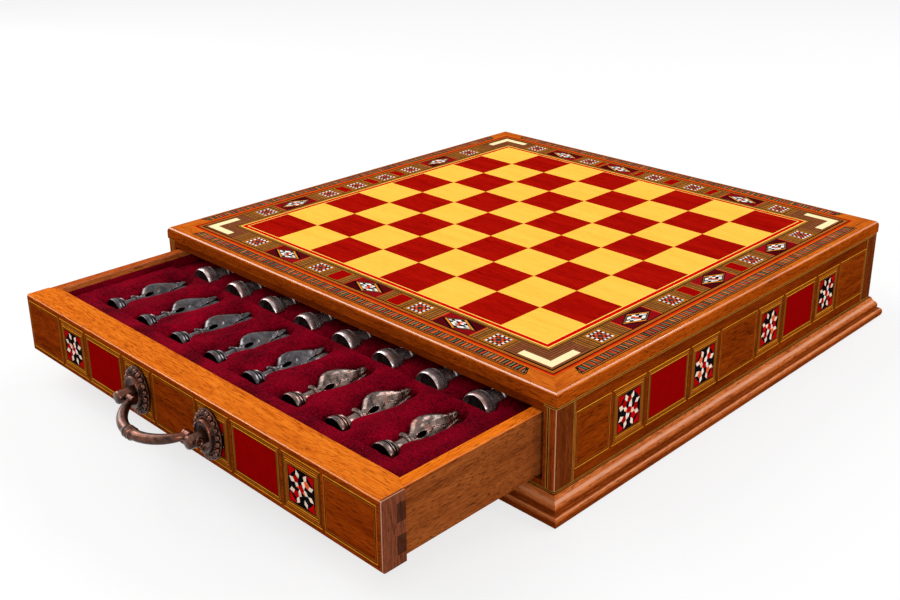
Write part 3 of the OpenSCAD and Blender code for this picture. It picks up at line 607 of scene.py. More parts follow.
class Inlay:
    """Little prisms of veneer that lie flush in one plane; each has its own colour."""

    def __init__(self, seed):
        self.verts, self.faces, self.tints = [], [], []
        self.random = random.Random(seed)

    def add(self, plane, points, colour, spread=0.12, thick=INLAY, top=0.0):
        """A prism over the outline; its colour is varied by up to the spread."""
        origin, ux, uy, up = plane
        area = sum(a[0]*b[1] - a[1]*b[0] for a, b in zip(points, points[1:] + points[:1]))
        if area*np.dot(np.cross(ux, uy), up) < 0:
            points = points[::-1]
        n, base = len(points), len(self.verts)
        for depth in (top, -thick):
            for p in points:
                self.verts.append(origin + ux*p[0] + uy*p[1] + up*depth)
        self.faces.append(list(range(base, base + n)))
        self.faces.append(list(range(base + 2*n - 1, base + n - 1, -1)))
        for k in range(n):
            j = (k + 1) % n
            self.faces.append([base + k, base + n + k, base + n + j, base + j])
        s = 1 + self.random.uniform(-spread, spread)
        self.tints += [tuple(c*s for c in colour[:3]) + (1.0,)]*(n + 2)

    def rect(self, plane, x0, x1, y0, y1, colour, spread=0.12):
        self.add(plane, [(x0, y0), (x1, y0), (x1, y1), (x0, y1)], colour, spread)

    def ring(self, plane, cx, w, h, dx, dy, colour_x, colour_y):
        """Mitred frame of outer size w by h: dx wide at the left and right, dy at top and bottom."""
        a, b, c, d = w/2, h/2, w/2 - dx, h/2 - dy
        for s in (-1, 1):
            self.add(plane, [(cx + s*a, -b), (cx + s*a, b), (cx + s*c, d), (cx + s*c, -d)], colour_x, 0.08)
            self.add(plane, [(cx - a, s*b), (cx + a, s*b), (cx + c, s*d), (cx - c, s*d)], colour_y, 0.08)

    def rings(self, plane, cx, w, h, widths):
        """Frames one inside another; widths are (dx, dy, colour_x, colour_y). Returns the size left inside."""
        for dx, dy, colour_x, colour_y in widths:
            self.ring(plane, cx, w, h, dx, dy, colour_x, colour_y)
            w, h = w - 2*dx, h - 2*dy
        return w, h

    def piece(self, name, body, slot, replaces=(), finish=None):
        return new_piece(name, self.verts, self.faces, finish or TINTED, body, replaces, self.tints)


def plane_at(origin, ux, uy, up):
    """Plane from its origin, its two directions and the way out of it."""
    return tuple(np.array(v, float) for v in (origin, ux, uy, up))


def moved(plane, x, y):
    """The plane with its origin moved along its own directions."""
    return (plane[0] + plane[1]*x + plane[2]*y,) + plane[1:]


def top_plane(k):
    """Plane of the top, turned so that its local -Y points at edge k."""
    c, s = [(1, 0), (0, 1), (-1, 0), (0, -1)][k]
    return plane_at((0, 0, CASE_H), (c, s, 0), (-s, c, 0), (0, 0, 1))


# ---- border of the top ----

# what lies along each edge: M mosaic square, D rhombus panel, R red tile with its width, and where
EDGE_MOTIFS = [
    [("M", -120), ("D", -82.5), ("M", -44), ("R", -23, 11.5), ("D", 8), ("R", 39, 11.5), ("M", 59), ("D", 95),
     ("M", 129)],
    [("M", -123), ("D", -85), ("M", -46), ("R", -25, 10), ("D", 5.5), ("R", 35.5, 10), ("M", 55.5), ("D", 91),
     ("M", 127)],
    [("M", -127.5), ("D", -93.5), ("R", -64, 6), ("M", -45.5), ("R", -23, 9), ("M", -5), ("R", 11.5, 5),
     ("D", 34.2), ("R", 55.5, 4), ("M", 68), ("D", 98), ("M", 132)],
    [("M", -115.5), ("D", -74.5), ("M", -38.5), ("R", -22.5, 8), ("M", -7), ("R", 9.5, 8), ("M", 26.5),
     ("R", 41.5, 8), ("M", 58), ("D", 93.5), ("M", 124)]]
BAND_W = BAND_OUT - BAND_IN
ROW = (BAND_IN + BAND_OUT)/2 + 1.3  # the motifs lie in a row, a little outside the middle of the band
CENTRE = 8.5  # half width of the striped middle of the band
BAND_END = 141.0  # where the cross stripes stop and the corner begins
MOSAIC_W = 0.7*BAND_W
RHOMB_L, RHOMB_W = 34.5, 0.79*BAND_W
BEADS = ["WBWBWBW", "BOBCBOB", "WBOTOBW", "BCTKTCB", "WBOTOBW", "BOBCBOB", "WBWBWBW"]
BEAD_TONES = {"W": PEARL, "B": INK, "O": srgb(206, 62, 24), "C": CORAL, "T": TEAL, "K": srgb(30, 50, 52)}


def motif_places(kind):
    """Plane and record of every motif of one kind, edge by edge."""
    for k, motifs in enumerate(EDGE_MOTIFS):
        for m in motifs:
            if m[0] == kind:
                yield moved(top_plane(k), m[1], -ROW), m


def border_mosaics():
    """Squares of tiny beads in an orange frame."""
    inlay = Inlay(3)
    lines = ((0.3, INK), (0.65, srgb(226, 116, 26)), (0.3, INK))
    for p, m in motif_places("M"):
        w = inlay.rings(p, 0, MOSAIC_W, MOSAIC_W, [(d, d, tone, tone) for d, tone in lines])[0]
        cell = w/len(BEADS)
        for j, row in enumerate(BEADS):
            for i, letter in enumerate(row):
                x0, y0 = -w/2 + i*cell, -w/2 + j*cell
                inlay.rect(p, x0, x0 + cell, y0, y0 + cell, BEAD_TONES[letter], 0.25)
    return inlay.piece("border_bead_squares", "case", "mosaic", ["border_mosaics"])


RHOMBUS = ["WBWWB", "BWKOW", "WBRBW", "WOWBK", "BWBWC"]
RHOMBUS_TONES = {"W": PEARL, "B": INK, "K": SMOKE, "O": CORAL, "R": srgb(210, 56, 28), "C": CREAM}
TIP_X, END_W = 16.0, 1.1  # reach of the rhombus from its middle, orange line at the panel's ends
# lines round the checkers: from and to (share of a side), colour, for both pairs of sides
RHOMBUS_LINES = ((0.0, 0.10, INK, 0.0, 0.045, INK),
                 (0.10, 0.18, srgb(232, 138, 40), 0.045, 0.10, srgb(120, 84, 50)),
                 (0.18, 0.21, INK, 0.10, 0.13, INK))


def border_rhombi():
    """Rhombus of checkered pieces, lined black and orange, on a dark red panel."""
    inlay = Inlay(5)
    a, b = RHOMB_L/2, RHOMB_W/2
    for p, m in motif_places("D"):
        tips = [np.array(t) for t in ((-TIP_X, 0), (0, -b), (TIP_X, 0), (0, b))]
        for q in range(4):
            u, v = tips[q], tips[(q + 1) % 4]
            sx, sy = np.sign(u + v)
            tip, mid = (u, v) if u[1] == 0 else (v, u)
            end = sx*(a - END_W)
            ground = srgb(140, 14, 20) if q % 2 else srgb(84, 10, 16)
            inlay.add(p, [tuple(tip), (end, 0), (end, sy*b), tuple(mid)], ground, 0.25)
            inlay.add(p, [(end, 0), (sx*a, 0), (sx*a, sy*b), (end, sy*b)], srgb(200, 60, 24), 0.15)
        # sides run u (towards the outer edge) and v (towards the field) from the left tip
        left, u, v = tips[0], tips[1] - tips[0], tips[3] - tips[0]
        for u0, u1, tone_u, v0, v1, tone_v in RHOMBUS_LINES:
            for flip in (False, True):
                def at(s, t):
                    return tuple(left + u*(1 - s if flip else s) + v*(1 - t if flip else t))
                inlay.add(p, [at(v0, u0), at(1 - v0, u0), at(1 - v1, u1), at(v1, u1)], tone_u, 0.08)
                inlay.add(p, [at(v0, u0), at(v1, u1), at(v1, 1 - u1), at(v0, 1 - u0)], tone_v, 0.08)
        start, du, dv = left + u*0.13 + v*0.21, u*0.74/5, v*0.58/5
        for j, row in enumerate(RHOMBUS):
            for i, letter in enumerate(row):
                c = start + du*i + dv*j
                inlay.add(p, [tuple(c), tuple(c + du), tuple(c + du + dv), tuple(c + dv)],
                          RHOMBUS_TONES[letter], 0.25)
    return inlay.piece("border_rhombus_panels", "case", "mosaic", ["border_rhombi"])


# bone corner pieces: outer and inner line, and how far they reach along the edge
BONE_OUT, BONE_IN, BONE_END = BAND_OUT - 3.4, BAND_OUT - 9.4, BAND_OUT - 30.4
INNER_LINES = [(0.5, BLACK), (1.1, srgb(196, 124, 48)), (0.8, BLACK), (0.6, srgb(150, 92, 34)), (0.55, BLACK)]
OUTER_LINE_W = 0.95
CROSS = [(0.75, srgb(176, 110, 46)), (0.5, srgb(40, 22, 10)), (0.7, srgb(146, 84, 34)), (0.45, srgb(48, 26, 12)),
         (0.75, srgb(190, 124, 54)), (0.45, srgb(38, 22, 10)), (0.7, srgb(120, 66, 28)), (0.4, srgb(50, 28, 14))]
CORNER_PITCH, CORNER_GAP = 1.9, 0.5  # stripes at the corners, and the dark line beside each


def edge_lines(inlay, plane, radius, lines):
    """Mitred lines along one edge of the top, from the given distance outwards."""
    for width, tone in lines:
        out = radius + width
        inlay.add(plane, [(-radius, -radius), (radius, -radius), (out, -out), (-out, -out)], tone, 0.06)
        radius = out


def cross_stripes(inlay, plane, x0, x1):
    """Thin stripes across the middle of the band from x0 to x1."""
    x, k = x0, 0
    while x < x1 - 1e-6:
        width, tone = CROSS[k % len(CROSS)]
        inlay.rect(plane, x, min(x + width, x1), -CENTRE, CENTRE, tone, 0.15)
        x, k = x + width, k + 1


def corner_stripes(inlay, plane, x0):
    """Brown stripes along the edge, from x0 to the mitre, round the bone corner piece."""
    levels = [ROW - CENTRE, BONE_IN, BONE_OUT, ROW + CENTRE]
    for zone, (r0, r1) in enumerate(zip(levels, levels[1:])):
        count = max(1, round((r1 - r0)/CORNER_PITCH))
        for n in range(count):
            lo = r0 + (r1 - r0)*n/count
            hi = r0 + (r1 - r0)*(n + 1)/count
            dark = hi - CORNER_GAP
            for a, b, tone in ((lo, dark, srgb(136, 76, 44)), (dark, hi, srgb(48, 26, 16))):
                for s in (-1, 1):
                    ends = (BONE_END, BONE_END) if zone == 1 else (a, b)
                    inlay.add(plane, [(s*x0, -a), (s*ends[0], -a), (s*ends[1], -b), (s*x0, -b)], tone, 0.12)


def striped_band():
    """Band between the motifs: lines along both edges, cross stripes, mitred lines round the squares."""
    inlay = Inlay(41)
    room = CENTRE - MOSAIC_W/2  # between a square and the edge of the striped middle
    for k, motifs in enumerate(EDGE_MOTIFS):
        edge_lines(inlay, top_plane(k), BAND_IN, INNER_LINES)
        edge_lines(inlay, top_plane(k), BAND_OUT - OUTER_LINE_W, [(OUTER_LINE_W, BLACK)])
        corner_stripes(inlay, top_plane(k), BAND_END)
        plane = moved(top_plane(k), 0, -ROW)
        at = -BAND_END
        for m in sorted(motifs, key=lambda m: m[1]):
            half = {"M": MOSAIC_W/2, "D": RHOMB_L/2, "R": m[-1]/2}[m[0]]
            edge = half
            if m[0] != "D":
                lines = [(room*share, room*share, tone, tone)
                         for share, tone in ((0.35, BLACK), (0.4, YELLOW), (0.25, BLACK))]
                inlay.rings(moved(plane, m[1], 0), 0, 2*CENTRE - MOSAIC_W + 2*half, 2*CENTRE, lines)
                edge = half + room
            cross_stripes(inlay, plane, at, m[1] - edge)
            at = m[1] + edge
        cross_stripes(inlay, plane, at, BAND_END)
    return inlay.piece("striped_band", "case", "striped_veneer", ["border_band"])


def border_red():
    """Small red tiles between the motifs."""
    inlay = Inlay(43)
    for here, m in motif_places("R"):
        inlay.rect(here, -m[2]/2, m[2]/2, -MOSAIC_W/2, MOSAIC_W/2, PLAIN, 0)
    return inlay.piece("border_red", "case", "red_tile", ["border_red_tiles"], BORDER_RED)


def field_lines():
    """Yellow, red and yellow line round the squares."""
    yellow, red = Inlay(44), Inlay(45)
    for inlay, r0, r1 in ((yellow, FIELD, RED_IN), (red, RED_IN, RED_OUT), (yellow, RED_OUT, BAND_IN)):
        inlay.ring(top_plane(0), 0, 2*r1, 2*r1, r1 - r0, r1 - r0, PLAIN, PLAIN)
    yellow.piece("yellow_lines", "case", "yellow_veneer", ["field_lines_yellow"], YELLOW_LINE)
    red.piece("red_line", "case", "red_veneer", ["field_line_red"], RED_LINE)


# ---- framed panels of the sides and drawer fronts ----

HEART, STAR, KITE, FACET, POINT = 0.2, 0.37, 0.54, 0.76, 0.98  # circles on which the rosette's corners lie
TURN = 11  # degrees from a facet's corner to the side of its eighth
CORNER = 0.95  # corner of the ground, short of the frame


def rosette(inlay, plane, cx, w, h):
    """Eight-pointed rosette: red heart, pale star, black kites, cream diamonds, red corners."""
    rnd = inlay.random
    jitter = {}

    def at(r, deg):
        key = (round(r, 3), round(deg) % 360 if abs(deg - round(deg)) < 0.01 else round(deg % 360, 1))
        if key not in jitter:
            jitter[key] = (rnd.uniform(-0.025, 0.025), rnd.uniform(-0.025, 0.025))
        dx, dy = jitter[key]
        return (cx + (r*math.cos(math.radians(deg)) + dx)*w/2, (r*math.sin(math.radians(deg)) + dy)*h/2)

    def spot(x, y):
        return (cx + x*w/2, y*h/2)

    red = srgb(168, 6, 6)
    inlay.add(plane, [at(HEART, 22.5 + 45*k) for k in range(8)], red)
    for k in range(8):
        lo, mid, hi = 45*k - 22.5, 45*k, 45*k + 22.5
        diagonal = k % 2 == 1
        inlay.add(plane, [at(HEART, lo), at(STAR, mid), at(HEART, hi)],
                  (PEARL, CORAL, INK, PEARL)[(k*3 + rnd.randrange(2)) % 4], 0.15)
        inlay.add(plane, [at(HEART, hi), at(STAR, mid), at(KITE, hi), at(STAR, mid + 45)],
                  CREAM if diagonal else INK, 0.2)
        spoke = rnd.choice((red, red, CORAL, INK)) if diagonal else rnd.choice((INK, INK, INK, red))
        inlay.add(plane, [at(STAR, mid), at(KITE, lo), at(FACET, lo + TURN), at(FACET, hi - TURN), at(KITE, hi)],
                  spoke, 0.2)
        inlay.add(plane, [at(KITE, hi), at(FACET, hi - TURN), at(POINT, hi), at(FACET, hi + TURN)], CREAM, 0.1)
        # ground between the rosette and the frame on this side
        c, s = math.cos(math.radians(mid)), math.sin(math.radians(mid))

        def side(out, across):
            return spot(out*c - across*s, out*s + across*c)

        if diagonal:
            sx, sy = math.copysign(CORNER, c), math.copysign(CORNER, s)
            inner = spot(0.7*sx, 0.7*sy)
            inlay.add(plane, [at(FACET, lo + TURN), inner, at(FACET, hi - TURN)], INK, 0.2)
            inlay.add(plane, [at(FACET, lo + TURN), at(POINT, lo), inner], INK, 0.2)
            inlay.add(plane, [at(FACET, hi - TURN), inner, at(POINT, hi)], INK, 0.2)
            inlay.add(plane, [at(POINT, lo), spot(sx, sy), at(POINT, hi), inner], red, 0.25)
        else:
            inlay.add(plane, [at(FACET, lo + TURN), at(POINT, lo), side(CORNER, -CORNER), side(1, -1), side(1, 1),
                              side(CORNER, CORNER), at(POINT, hi), at(FACET, hi - TURN)], INK, 0.2)


# stringing from the outside in: width upright and level, colour upright and level
PANEL_RINGS = {
    "M": [(0.35, 0.75, BROWN, GOLD), (0.45, 0.7, DARK, BLACK), (0.9, 0.8, BROWN, RUST), (0.35, 0.6, DARK, DARK),
          (1.0, 0.9, TAN, AMBER), (0.3, 0.6, DARK, BLACK), (0.55, 0.8, RUST, GOLD), (0.75, 0.65, BROWN, BLACK),
          (0.55, 0.4, TAN, RUST)],
    "R": [(0.3, 0.75, BROWN, GOLD), (0.5, 0.65, DARK, BLACK), (1.1, 0.75, TAN, RUST), (0.35, 0.6, DARK, BLACK),
          (0.4, 0.7, TAN, GOLD), (0.35, 0.4, BROWN, BROWN), (0.2, 0.25, BLACK, BLACK)],
    "W": [(0.7, 0.65, RUST, GOLD), (0.75, 0.75, DARK, BLACK), (0.35, 0.4, RUST, RUST), (0.25, 0.25, DARK, BROWN)]}


def framed_panel(inlay, wood_inlay, plane, tile, h, red=None):
    """One framed panel: rings of stringing, then the rosette, the wood or the red panel."""
    kind, cx, w = tile
    w, h = inlay.rings(plane, cx, w, h, PANEL_RINGS[kind])
    if kind == "M":
        rosette(inlay, plane, cx, w, h)
    elif kind == "W":
        wood_inlay.rect(plane, cx - w/2, cx + w/2, -h/2, h/2, PLAIN, 0.0)
    elif red:
        red.rect(plane, cx - w/2, cx + w/2, -h/2, h/2, PLAIN, 0.0)


def panel_row(lo, hi):
    """Nine panels from lo to hi: kind (rosette, red or wood), middle and width."""
    small, wide = 0.8034*PITCH, 1.091*PITCH
    end = 3*PITCH + small/2 + 2.2  # the outer wood panels begin here
    return [("W", (lo - end)/2, -end - lo), ("M", -3*PITCH, small), ("R", -2*PITCH, wide), ("M", -PITCH, small),
            ("W", 0, wide), ("M", PITCH, small), ("R", 2*PITCH, wide), ("M", 3*PITCH, small),
            ("W", (hi + end)/2, hi - end)]


SIDE_PANEL_H, DRAWER_PANEL_H = 38.4, 36.0
SIDE_REACH, DRAWER_REACH = HALF - POST_W - STRING_W - 0.6, 186.4  # where the rows of panels end


def side_marquetry():
    """The rows of panels on the left and right of the case."""
    inlay, panels = Inlay(11), Inlay(12)
    for s in (-1, 1):
        plane = plane_at((s*HALF, s*SIDE_SHIFT, TILE_Z), (0, s, 0), (0, 0, 1), (s, 0, 0))
        for tile in panel_row(-SIDE_REACH - SIDE_SHIFT, SIDE_REACH - SIDE_SHIFT):
            framed_panel(inlay, panels, plane, tile, SIDE_PANEL_H)
    inlay.piece("side_marquetry", "case", "mosaic", ["side_frames", "side_mosaics"])
    panels.piece("side_wood_panels", "case", "case_wood", ["side_frames"], WOOD["panel_side"])


def drawer_marquetry(side):
    """The row of panels on a drawer front."""
    inlay, panels, red = Inlay(21 if side == "front" else 23), Inlay(22), Inlay(24)
    if side == "front":
        plane = plane_at((0, -HALF - OPEN - PROUD, TILE_Z), (1, 0, 0), (0, 0, 1), (0, -1, 0))
    else:
        plane = plane_at((0, HALF + PROUD, TILE_Z), (-1, 0, 0), (0, 0, 1), (0, 1, 0))
    for tile in panel_row(-DRAWER_REACH, DRAWER_REACH):
        framed_panel(inlay, panels, plane, tile, DRAWER_PANEL_H, red)
    body = side + "_drawer"
    red.piece(side + "_red_panels", body, "red_tile", [side + "_red_tiles"], RED_TILE)
    inlay.piece(side + "_marquetry", body, "mosaic", [side + "_frames", side + "_mosaics"])
    panels.piece(side + "_wood_panels", body, "case_wood", [side + "_frames"], WOOD["panel"])


# ---- boards and base ----

FACE_X, FACE_Z0, FACE_Z1 = 190.0, 22.0, 66.0  # drawer front: half width, lower and upper edge
FACE_END_T, FACE_T = 17.0, 22.0  # its thickness at the ends, where the sides lap it, and between them
SIDE_X, SIDE_IN, SIDE_Z0, SIDE_END = 188.0, 180.0, 24.2, -2.4  # outer and inner face, lower edge, rear end
PINS, PIN_LEN = ((28.5, 40.0), (48.0, 59.5)), 6.4  # finger joints: from and to height, length
FRONT_ROUND, SIDE_ROUND = 1.9, 0.9
NEAR = 0.01


def slab(outline, z0, z1):
    """Upright prism over a plan outline."""
    n = len(outline)
    verts = [(x, y, z) for z in (z0, z1) for x, y in outline]
    faces = [list(range(n))[::-1], list(range(n, 2*n))]
    return verts, faces + [[k, (k + 1) % n, (k + 1) % n + n, k + n] for k in range(n)]


def rounded(part, radius, wanted, segments=4):
    """The solid with its wanted edges rounded over."""
    solid = bmesh.new()
    made = [solid.verts.new(v) for v in part[0]]
    for face in part[1]:
        solid.faces.new([made[k] for k in face])
    edges = [e for e in solid.edges if wanted(e.verts[0].co, e.verts[1].co)]
    bmesh.ops.bevel(solid, geom=edges, offset=radius, segments=segments, profile=0.5, affect="EDGES")
    solid.verts.index_update()
    verts = [tuple(v.co) for v in solid.verts]
    faces = [[v.index for v in f.verts] for f in solid.faces]
    solid.free()
    return np.array(verts), faces


def on_top(a, b):
    """Edges along the upper side of a drawer board."""
    return a.z > FACE_Z1 - NEAR and b.z > FACE_Z1 - NEAR


def front_edge(a, b):
    """Edges of the drawer front that are rounded: all round its face, and over its ends."""
    ahead = a.y < -HALF + NEAR and b.y < -HALF + NEAR
    end = abs(a.x) > FACE_X - NEAR and abs(b.x) > FACE_X - NEAR and a.x*b.x > 0
    low = a.z < FACE_Z0 + NEAR and b.z < FACE_Z0 + NEAR
    return (on_top(a, b) and (ahead or end)) or (ahead and (end or low))


def side_edge(a, b):
    """Edges of a side board that are rounded: the two long upper ones."""
    return on_top(a, b) and abs(a.x - b.x) < NEAR


def drawer_boards(side):
    """Drawer front, and two sides set back from its ends with pins through it."""
    back, lap = -HALF + FACE_T, -HALF + FACE_END_T
    outline = [(-FACE_X, -HALF), (FACE_X, -HALF), (FACE_X, lap), (SIDE_X, lap), (SIDE_IN, back),
               (-SIDE_IN, back), (-SIDE_X, lap), (-FACE_X, lap)]
    front = rounded(slab(outline, FACE_Z0, FACE_Z1), FRONT_ROUND, front_edge)
    drawer_piece(side, "front_board", front, WOOD["front"], "face", 30)
    parts = []
    for s in (-1, 1):
        plan = [(s*SIDE_IN, back), (s*SIDE_X, lap), (s*SIDE_X, SIDE_END), (s*SIDE_IN, SIDE_END)]
        parts.append(rounded(slab(plan, SIDE_Z0, FACE_Z1), SIDE_ROUND, side_edge))
        tip = s*(FACE_X + PROUD)
        pin = [(s*SIDE_IN, lap - PIN_LEN), (tip, lap - PIN_LEN), (tip, lap), (s*SIDE_IN, lap)]
        parts += [slab(pin, z0, z1) for z0, z1 in PINS]
    drawer_piece(side, "side_boards", join(parts), WOOD["drawer"], "sides", 30)


# moulding from the inner lower edge outwards and up: (out from the case, height)
BASE_PROFILE = [(-9.5, 0), (7.7, 0), (8.2, 0.9), (8.45, 2.2), (8.4, 3.6), (8.1, 4.8), (7.4, 5.8), (6.5, 6.4),
                (5.6, 6.6), (5.1, 6.7), (4.9, 7.2), (5.15, 8.0), (5.2, 8.8), (5.0, 9.9), (4.5, 11.0), (3.7, 12.0),
                (2.8, 12.9), (2.1, 13.7), (1.6, 14.6), (1.2, 15.5), (0.9, 16), (-9.5, 16)]


def base_sweep():
    """Moulding round the foot: an ogee, a quirk and a torus below, mitred at the corners."""
    corners = [(sx*HALF, sy*HALF, sx, sy) for sx, sy in ((-1, -1), (1, -1), (1, 1), (-1, 1))]
    verts, faces = mitred_sweep(corners, BASE_PROFILE)
    new_piece("base_ogee", verts, faces, WOOD["base"], "case", ["base_moulding"], smooth=40)


# ---- geometry nodes for the tesserae ----

TESSERAE = [(0.0, srgb(236, 92, 22)), (0.12, srgb(214, 66, 40)), (0.19, srgb(240, 124, 44)),
            (0.25, srgb(70, 50, 44)), (0.4, srgb(58, 70, 62)), (0.5, srgb(136, 122, 88)), (0.6, srgb(96, 104, 76)),
            (0.69, srgb(160, 116, 80)), (0.75, srgb(56, 40, 40)), (0.88, srgb(150, 60, 40))]


def row_tree():
    """Blocks in a row along every edge of the guide mesh, each with a colour of its own."""
    g, i, o = new_group("Row of blocks", "GeometryNodeTree",
                        [("Geometry", "g"), ("Pitch", "f", 0.0013), ("Length", "f", 0.001), ("Width", "f", 0.009),
                         ("Thickness", "f", 0.0012), ("Seed", "i", 1), ("Material", "m")], [("Geometry", "g")])

    def chance(low, high, seed):
        return g.add("FunctionNodeRandomValue", {2: low, 3: high, "Seed": seed}, data_type="FLOAT").outputs[1]

    curve = g.add("GeometryNodeMeshToCurve", {"Mesh": i["Geometry"]}).outputs[0]
    points = g.add("GeometryNodeResampleCurve", {"Curve": curve, "Length": i["Pitch"]}, mode="LENGTH").outputs[0]
    tangent = g.parts(g.add("GeometryNodeInputTangent").outputs[0])
    heading = g.math("ARCTAN2", tangent[1], tangent[0])
    turn = g.vector(z=g.plus(heading, chance(-0.09, 0.09, 3)))
    block = g.add("GeometryNodeMeshCube", {"Size": g.vector(i["Length"], i["Width"], i["Thickness"])}).outputs[0]
    set_out = g.add("GeometryNodeInstanceOnPoints",
                    {"Points": points, "Instance": block, "Rotation": turn,
                     "Scale": g.vector(chance(0.75, 1.2, 5), 1.0, 1.0)}).outputs[0]
    # every fourth block is orange, the ones between keep their places in the rhythm
    index = g.add("GeometryNodeInputIndex").outputs[0]
    beat = g.math("DIVIDE", g.math("MODULO", index, 4.0), 4.0)
    tone = g.bands(g.plus(beat, chance(0.0, 0.249, i["Seed"])), TESSERAE)
    named = g.add("GeometryNodeStoreNamedAttribute", {"Geometry": set_out, "Name": "tint", "Value": tone},
                  data_type="FLOAT_COLOR", domain="INSTANCE").outputs[0]
    solid = g.add("GeometryNodeRealizeInstances", {"Geometry": named}).outputs[0]
    g.feed(o["Geometry"], g.add("GeometryNodeSetMaterial", {"Geometry": solid, "Material": i["Material"]}).outputs[0])
    return g.tree


ROWS = row_tree()


def grown(name, guide, tree, values, body, replaces=()):
    """Runs a geometry tree over a guide mesh and keeps the result as a plain piece."""
    piece = bpy.data.objects.new(name, guide)
    bpy.context.scene.collection.objects.link(piece)
    modifier = piece.modifiers.new("grow", "NODES")
    modifier.node_group = tree
    for item in tree.interface.items_tree:
        if item.in_out == "INPUT" and item.name in values:
            modifier[item.identifier] = values[item.name]
    depsgraph = bpy.context.evaluated_depsgraph_get()
    depsgraph.update()
    mesh = bpy.data.meshes.new_from_object(piece.evaluated_get(depsgraph), depsgraph=depsgraph)
    piece.modifiers.clear()
    piece.data = mesh
    return settle(piece, body, replaces)


def guide_mesh(name, points, edges):
    """Points and edges in millimetres, without faces."""
    mesh = bpy.data.meshes.new(name)
    mesh.from_pydata((np.asarray(points, float)*0.001).tolist(), edges, [])
    return mesh


# edge strips: tesserae between two lines outside the border stringing, cut on the slant at their ends
STRIP_IN, STRIP_OUT, SLANT = 2.1, 8.1, 3.5
ROW_END, ROW_BED = 3.6, 2.0  # the row of tesserae and the dark bed under it stop short of the strip's ends
INNER_HAIRLINES = ((0.6, srgb(206, 70, 14)), (0.75, srgb(226, 112, 30)), (0.75, INK))
OUTER_HAIRLINES = ((0.65, INK), (0.85, srgb(170, 92, 36)), (0.75, srgb(60, 30, 12)))
END_HAIRLINES = ((0.7, INK), (0.7, srgb(120, 104, 60)), (0.6, INK))


def edge_strips():
    """Rows of thin tesserae along the four edges of the top, between hairlines."""
    mid, half_len, width = LINE_OUT + (STRIP_IN + STRIP_OUT)/2, STRIP_LEN/2 - ROW_END, STRIP_OUT - STRIP_IN
    points, edges = [], []
    for k in range(4):
        plane = top_plane(k)
        for s in (-1, 1):
            points.append(plane[1]*s*half_len - plane[2]*mid + np.array((0, 0, CASE_H - INLAY/2 + PROUD)))
        edges.append((2*k, 2*k + 1))
    grown("edge_tesserae", guide_mesh("edge_guides", points, edges), ROWS,
          {"Pitch": 0.0013, "Length": 0.0011, "Width": width*0.001, "Thickness": INLAY*0.001, "Seed": 7,
           "Material": TINTED.material}, "case", ["edge_strips"])
    inlay, corners = Inlay(31), Inlay(32)
    a, half = STRIP_LEN/2, width/2
    bed = a - ROW_BED
    for k in range(4):
        plane = moved(top_plane(k), 0, -mid)
        inlay.add(plane, [(-bed, -half), (bed, -half), (bed - SLANT, half), (-bed + SLANT, half)],
                  INK, 0, INLAY - PROUD, 0.0)
        y = half + STRIP_IN
        for d, tone in INNER_HAIRLINES:
            inlay.rect(plane, -a + SLANT, a - SLANT, y - d, y, tone, 0.06)
            y -= d
        y = -half
        for d, tone in OUTER_HAIRLINES:
            inlay.add(plane, [(-a, y - d), (a, y - d), (a, y), (-a, y)], tone, 0.06, INLAY, PROUD)
            y -= d
        for s in (-1, 1):
            x = a
            for d, tone in END_HAIRLINES:
                inlay.add(plane, [(s*x, -half), (s*(x - d), -half), (s*(x - d - SLANT), half),
                                  (s*(x - SLANT), half)], tone, 0.06, INLAY, PROUD)
                x -= d
            corners.add(plane, [(s*a, -half), (s*(a - SLANT), half), (s*(a - SLANT), half + STRIP_IN),
                                (s*a, half + STRIP_IN)], PLAIN, 0)
    inlay.piece("edge_strip_lines", "case", "stringing", ["edge_strips"])
    corners.piece("edge_strip_corners", "case", "rim_wood", ["edge_strips"], WOOD["rim"])


# ---- velvet trays ----

# half width of a piece against the place along it: (places, half widths)
PAWN_WIDTH = ([-6, 3, 6, 9, 12, 18.3, 22.9, 28.8, 36, 45, 52, 57, 62, 66],
              [11.6, 11.6, 8.4, 5.6, 5.2, 6.2, 7.6, 9.2, 10.1, 10.8, 11.4, 10.4, 8, 3])
OFFICER_WIDTH = ([-6, 6, 9, 12, 16, 26, 34, 58, 66, 70], [13.2, 13.0, 11.0, 8.4, 7.6, 7.6, 8.9, 8.9, 7.4, 3.0])
# foot of a row, its widths, room in front of the foot and length of the bed
BEDS = ((PAWN_Y, PAWN_WIDTH, 3.6, 64.5), (OFFICER_Y, OFFICER_WIDTH, 4.6, 67.0))
TRAY_NX, TRAY_NY = 354, 167  # points across and along the tray
BED_DEPTH, SLOW_ROLL, QUICK_ROLL, EDGE_ROLL, FRONT_FALL, REAR_STEP = 11.5, 4.2, 1.6, 3.0, 2.0, 3.2


def piece_x(i):
    """Middle line of chessman i across the drawer."""
    return (i - 3.5)*PIECE_PITCH


def smooth_step(v, lo, hi):
    """0 below lo, 1 above hi, with soft ends."""
    t = np.clip((v - lo)/(hi - lo), 0, 1)
    return t*t*(3 - 2*t)


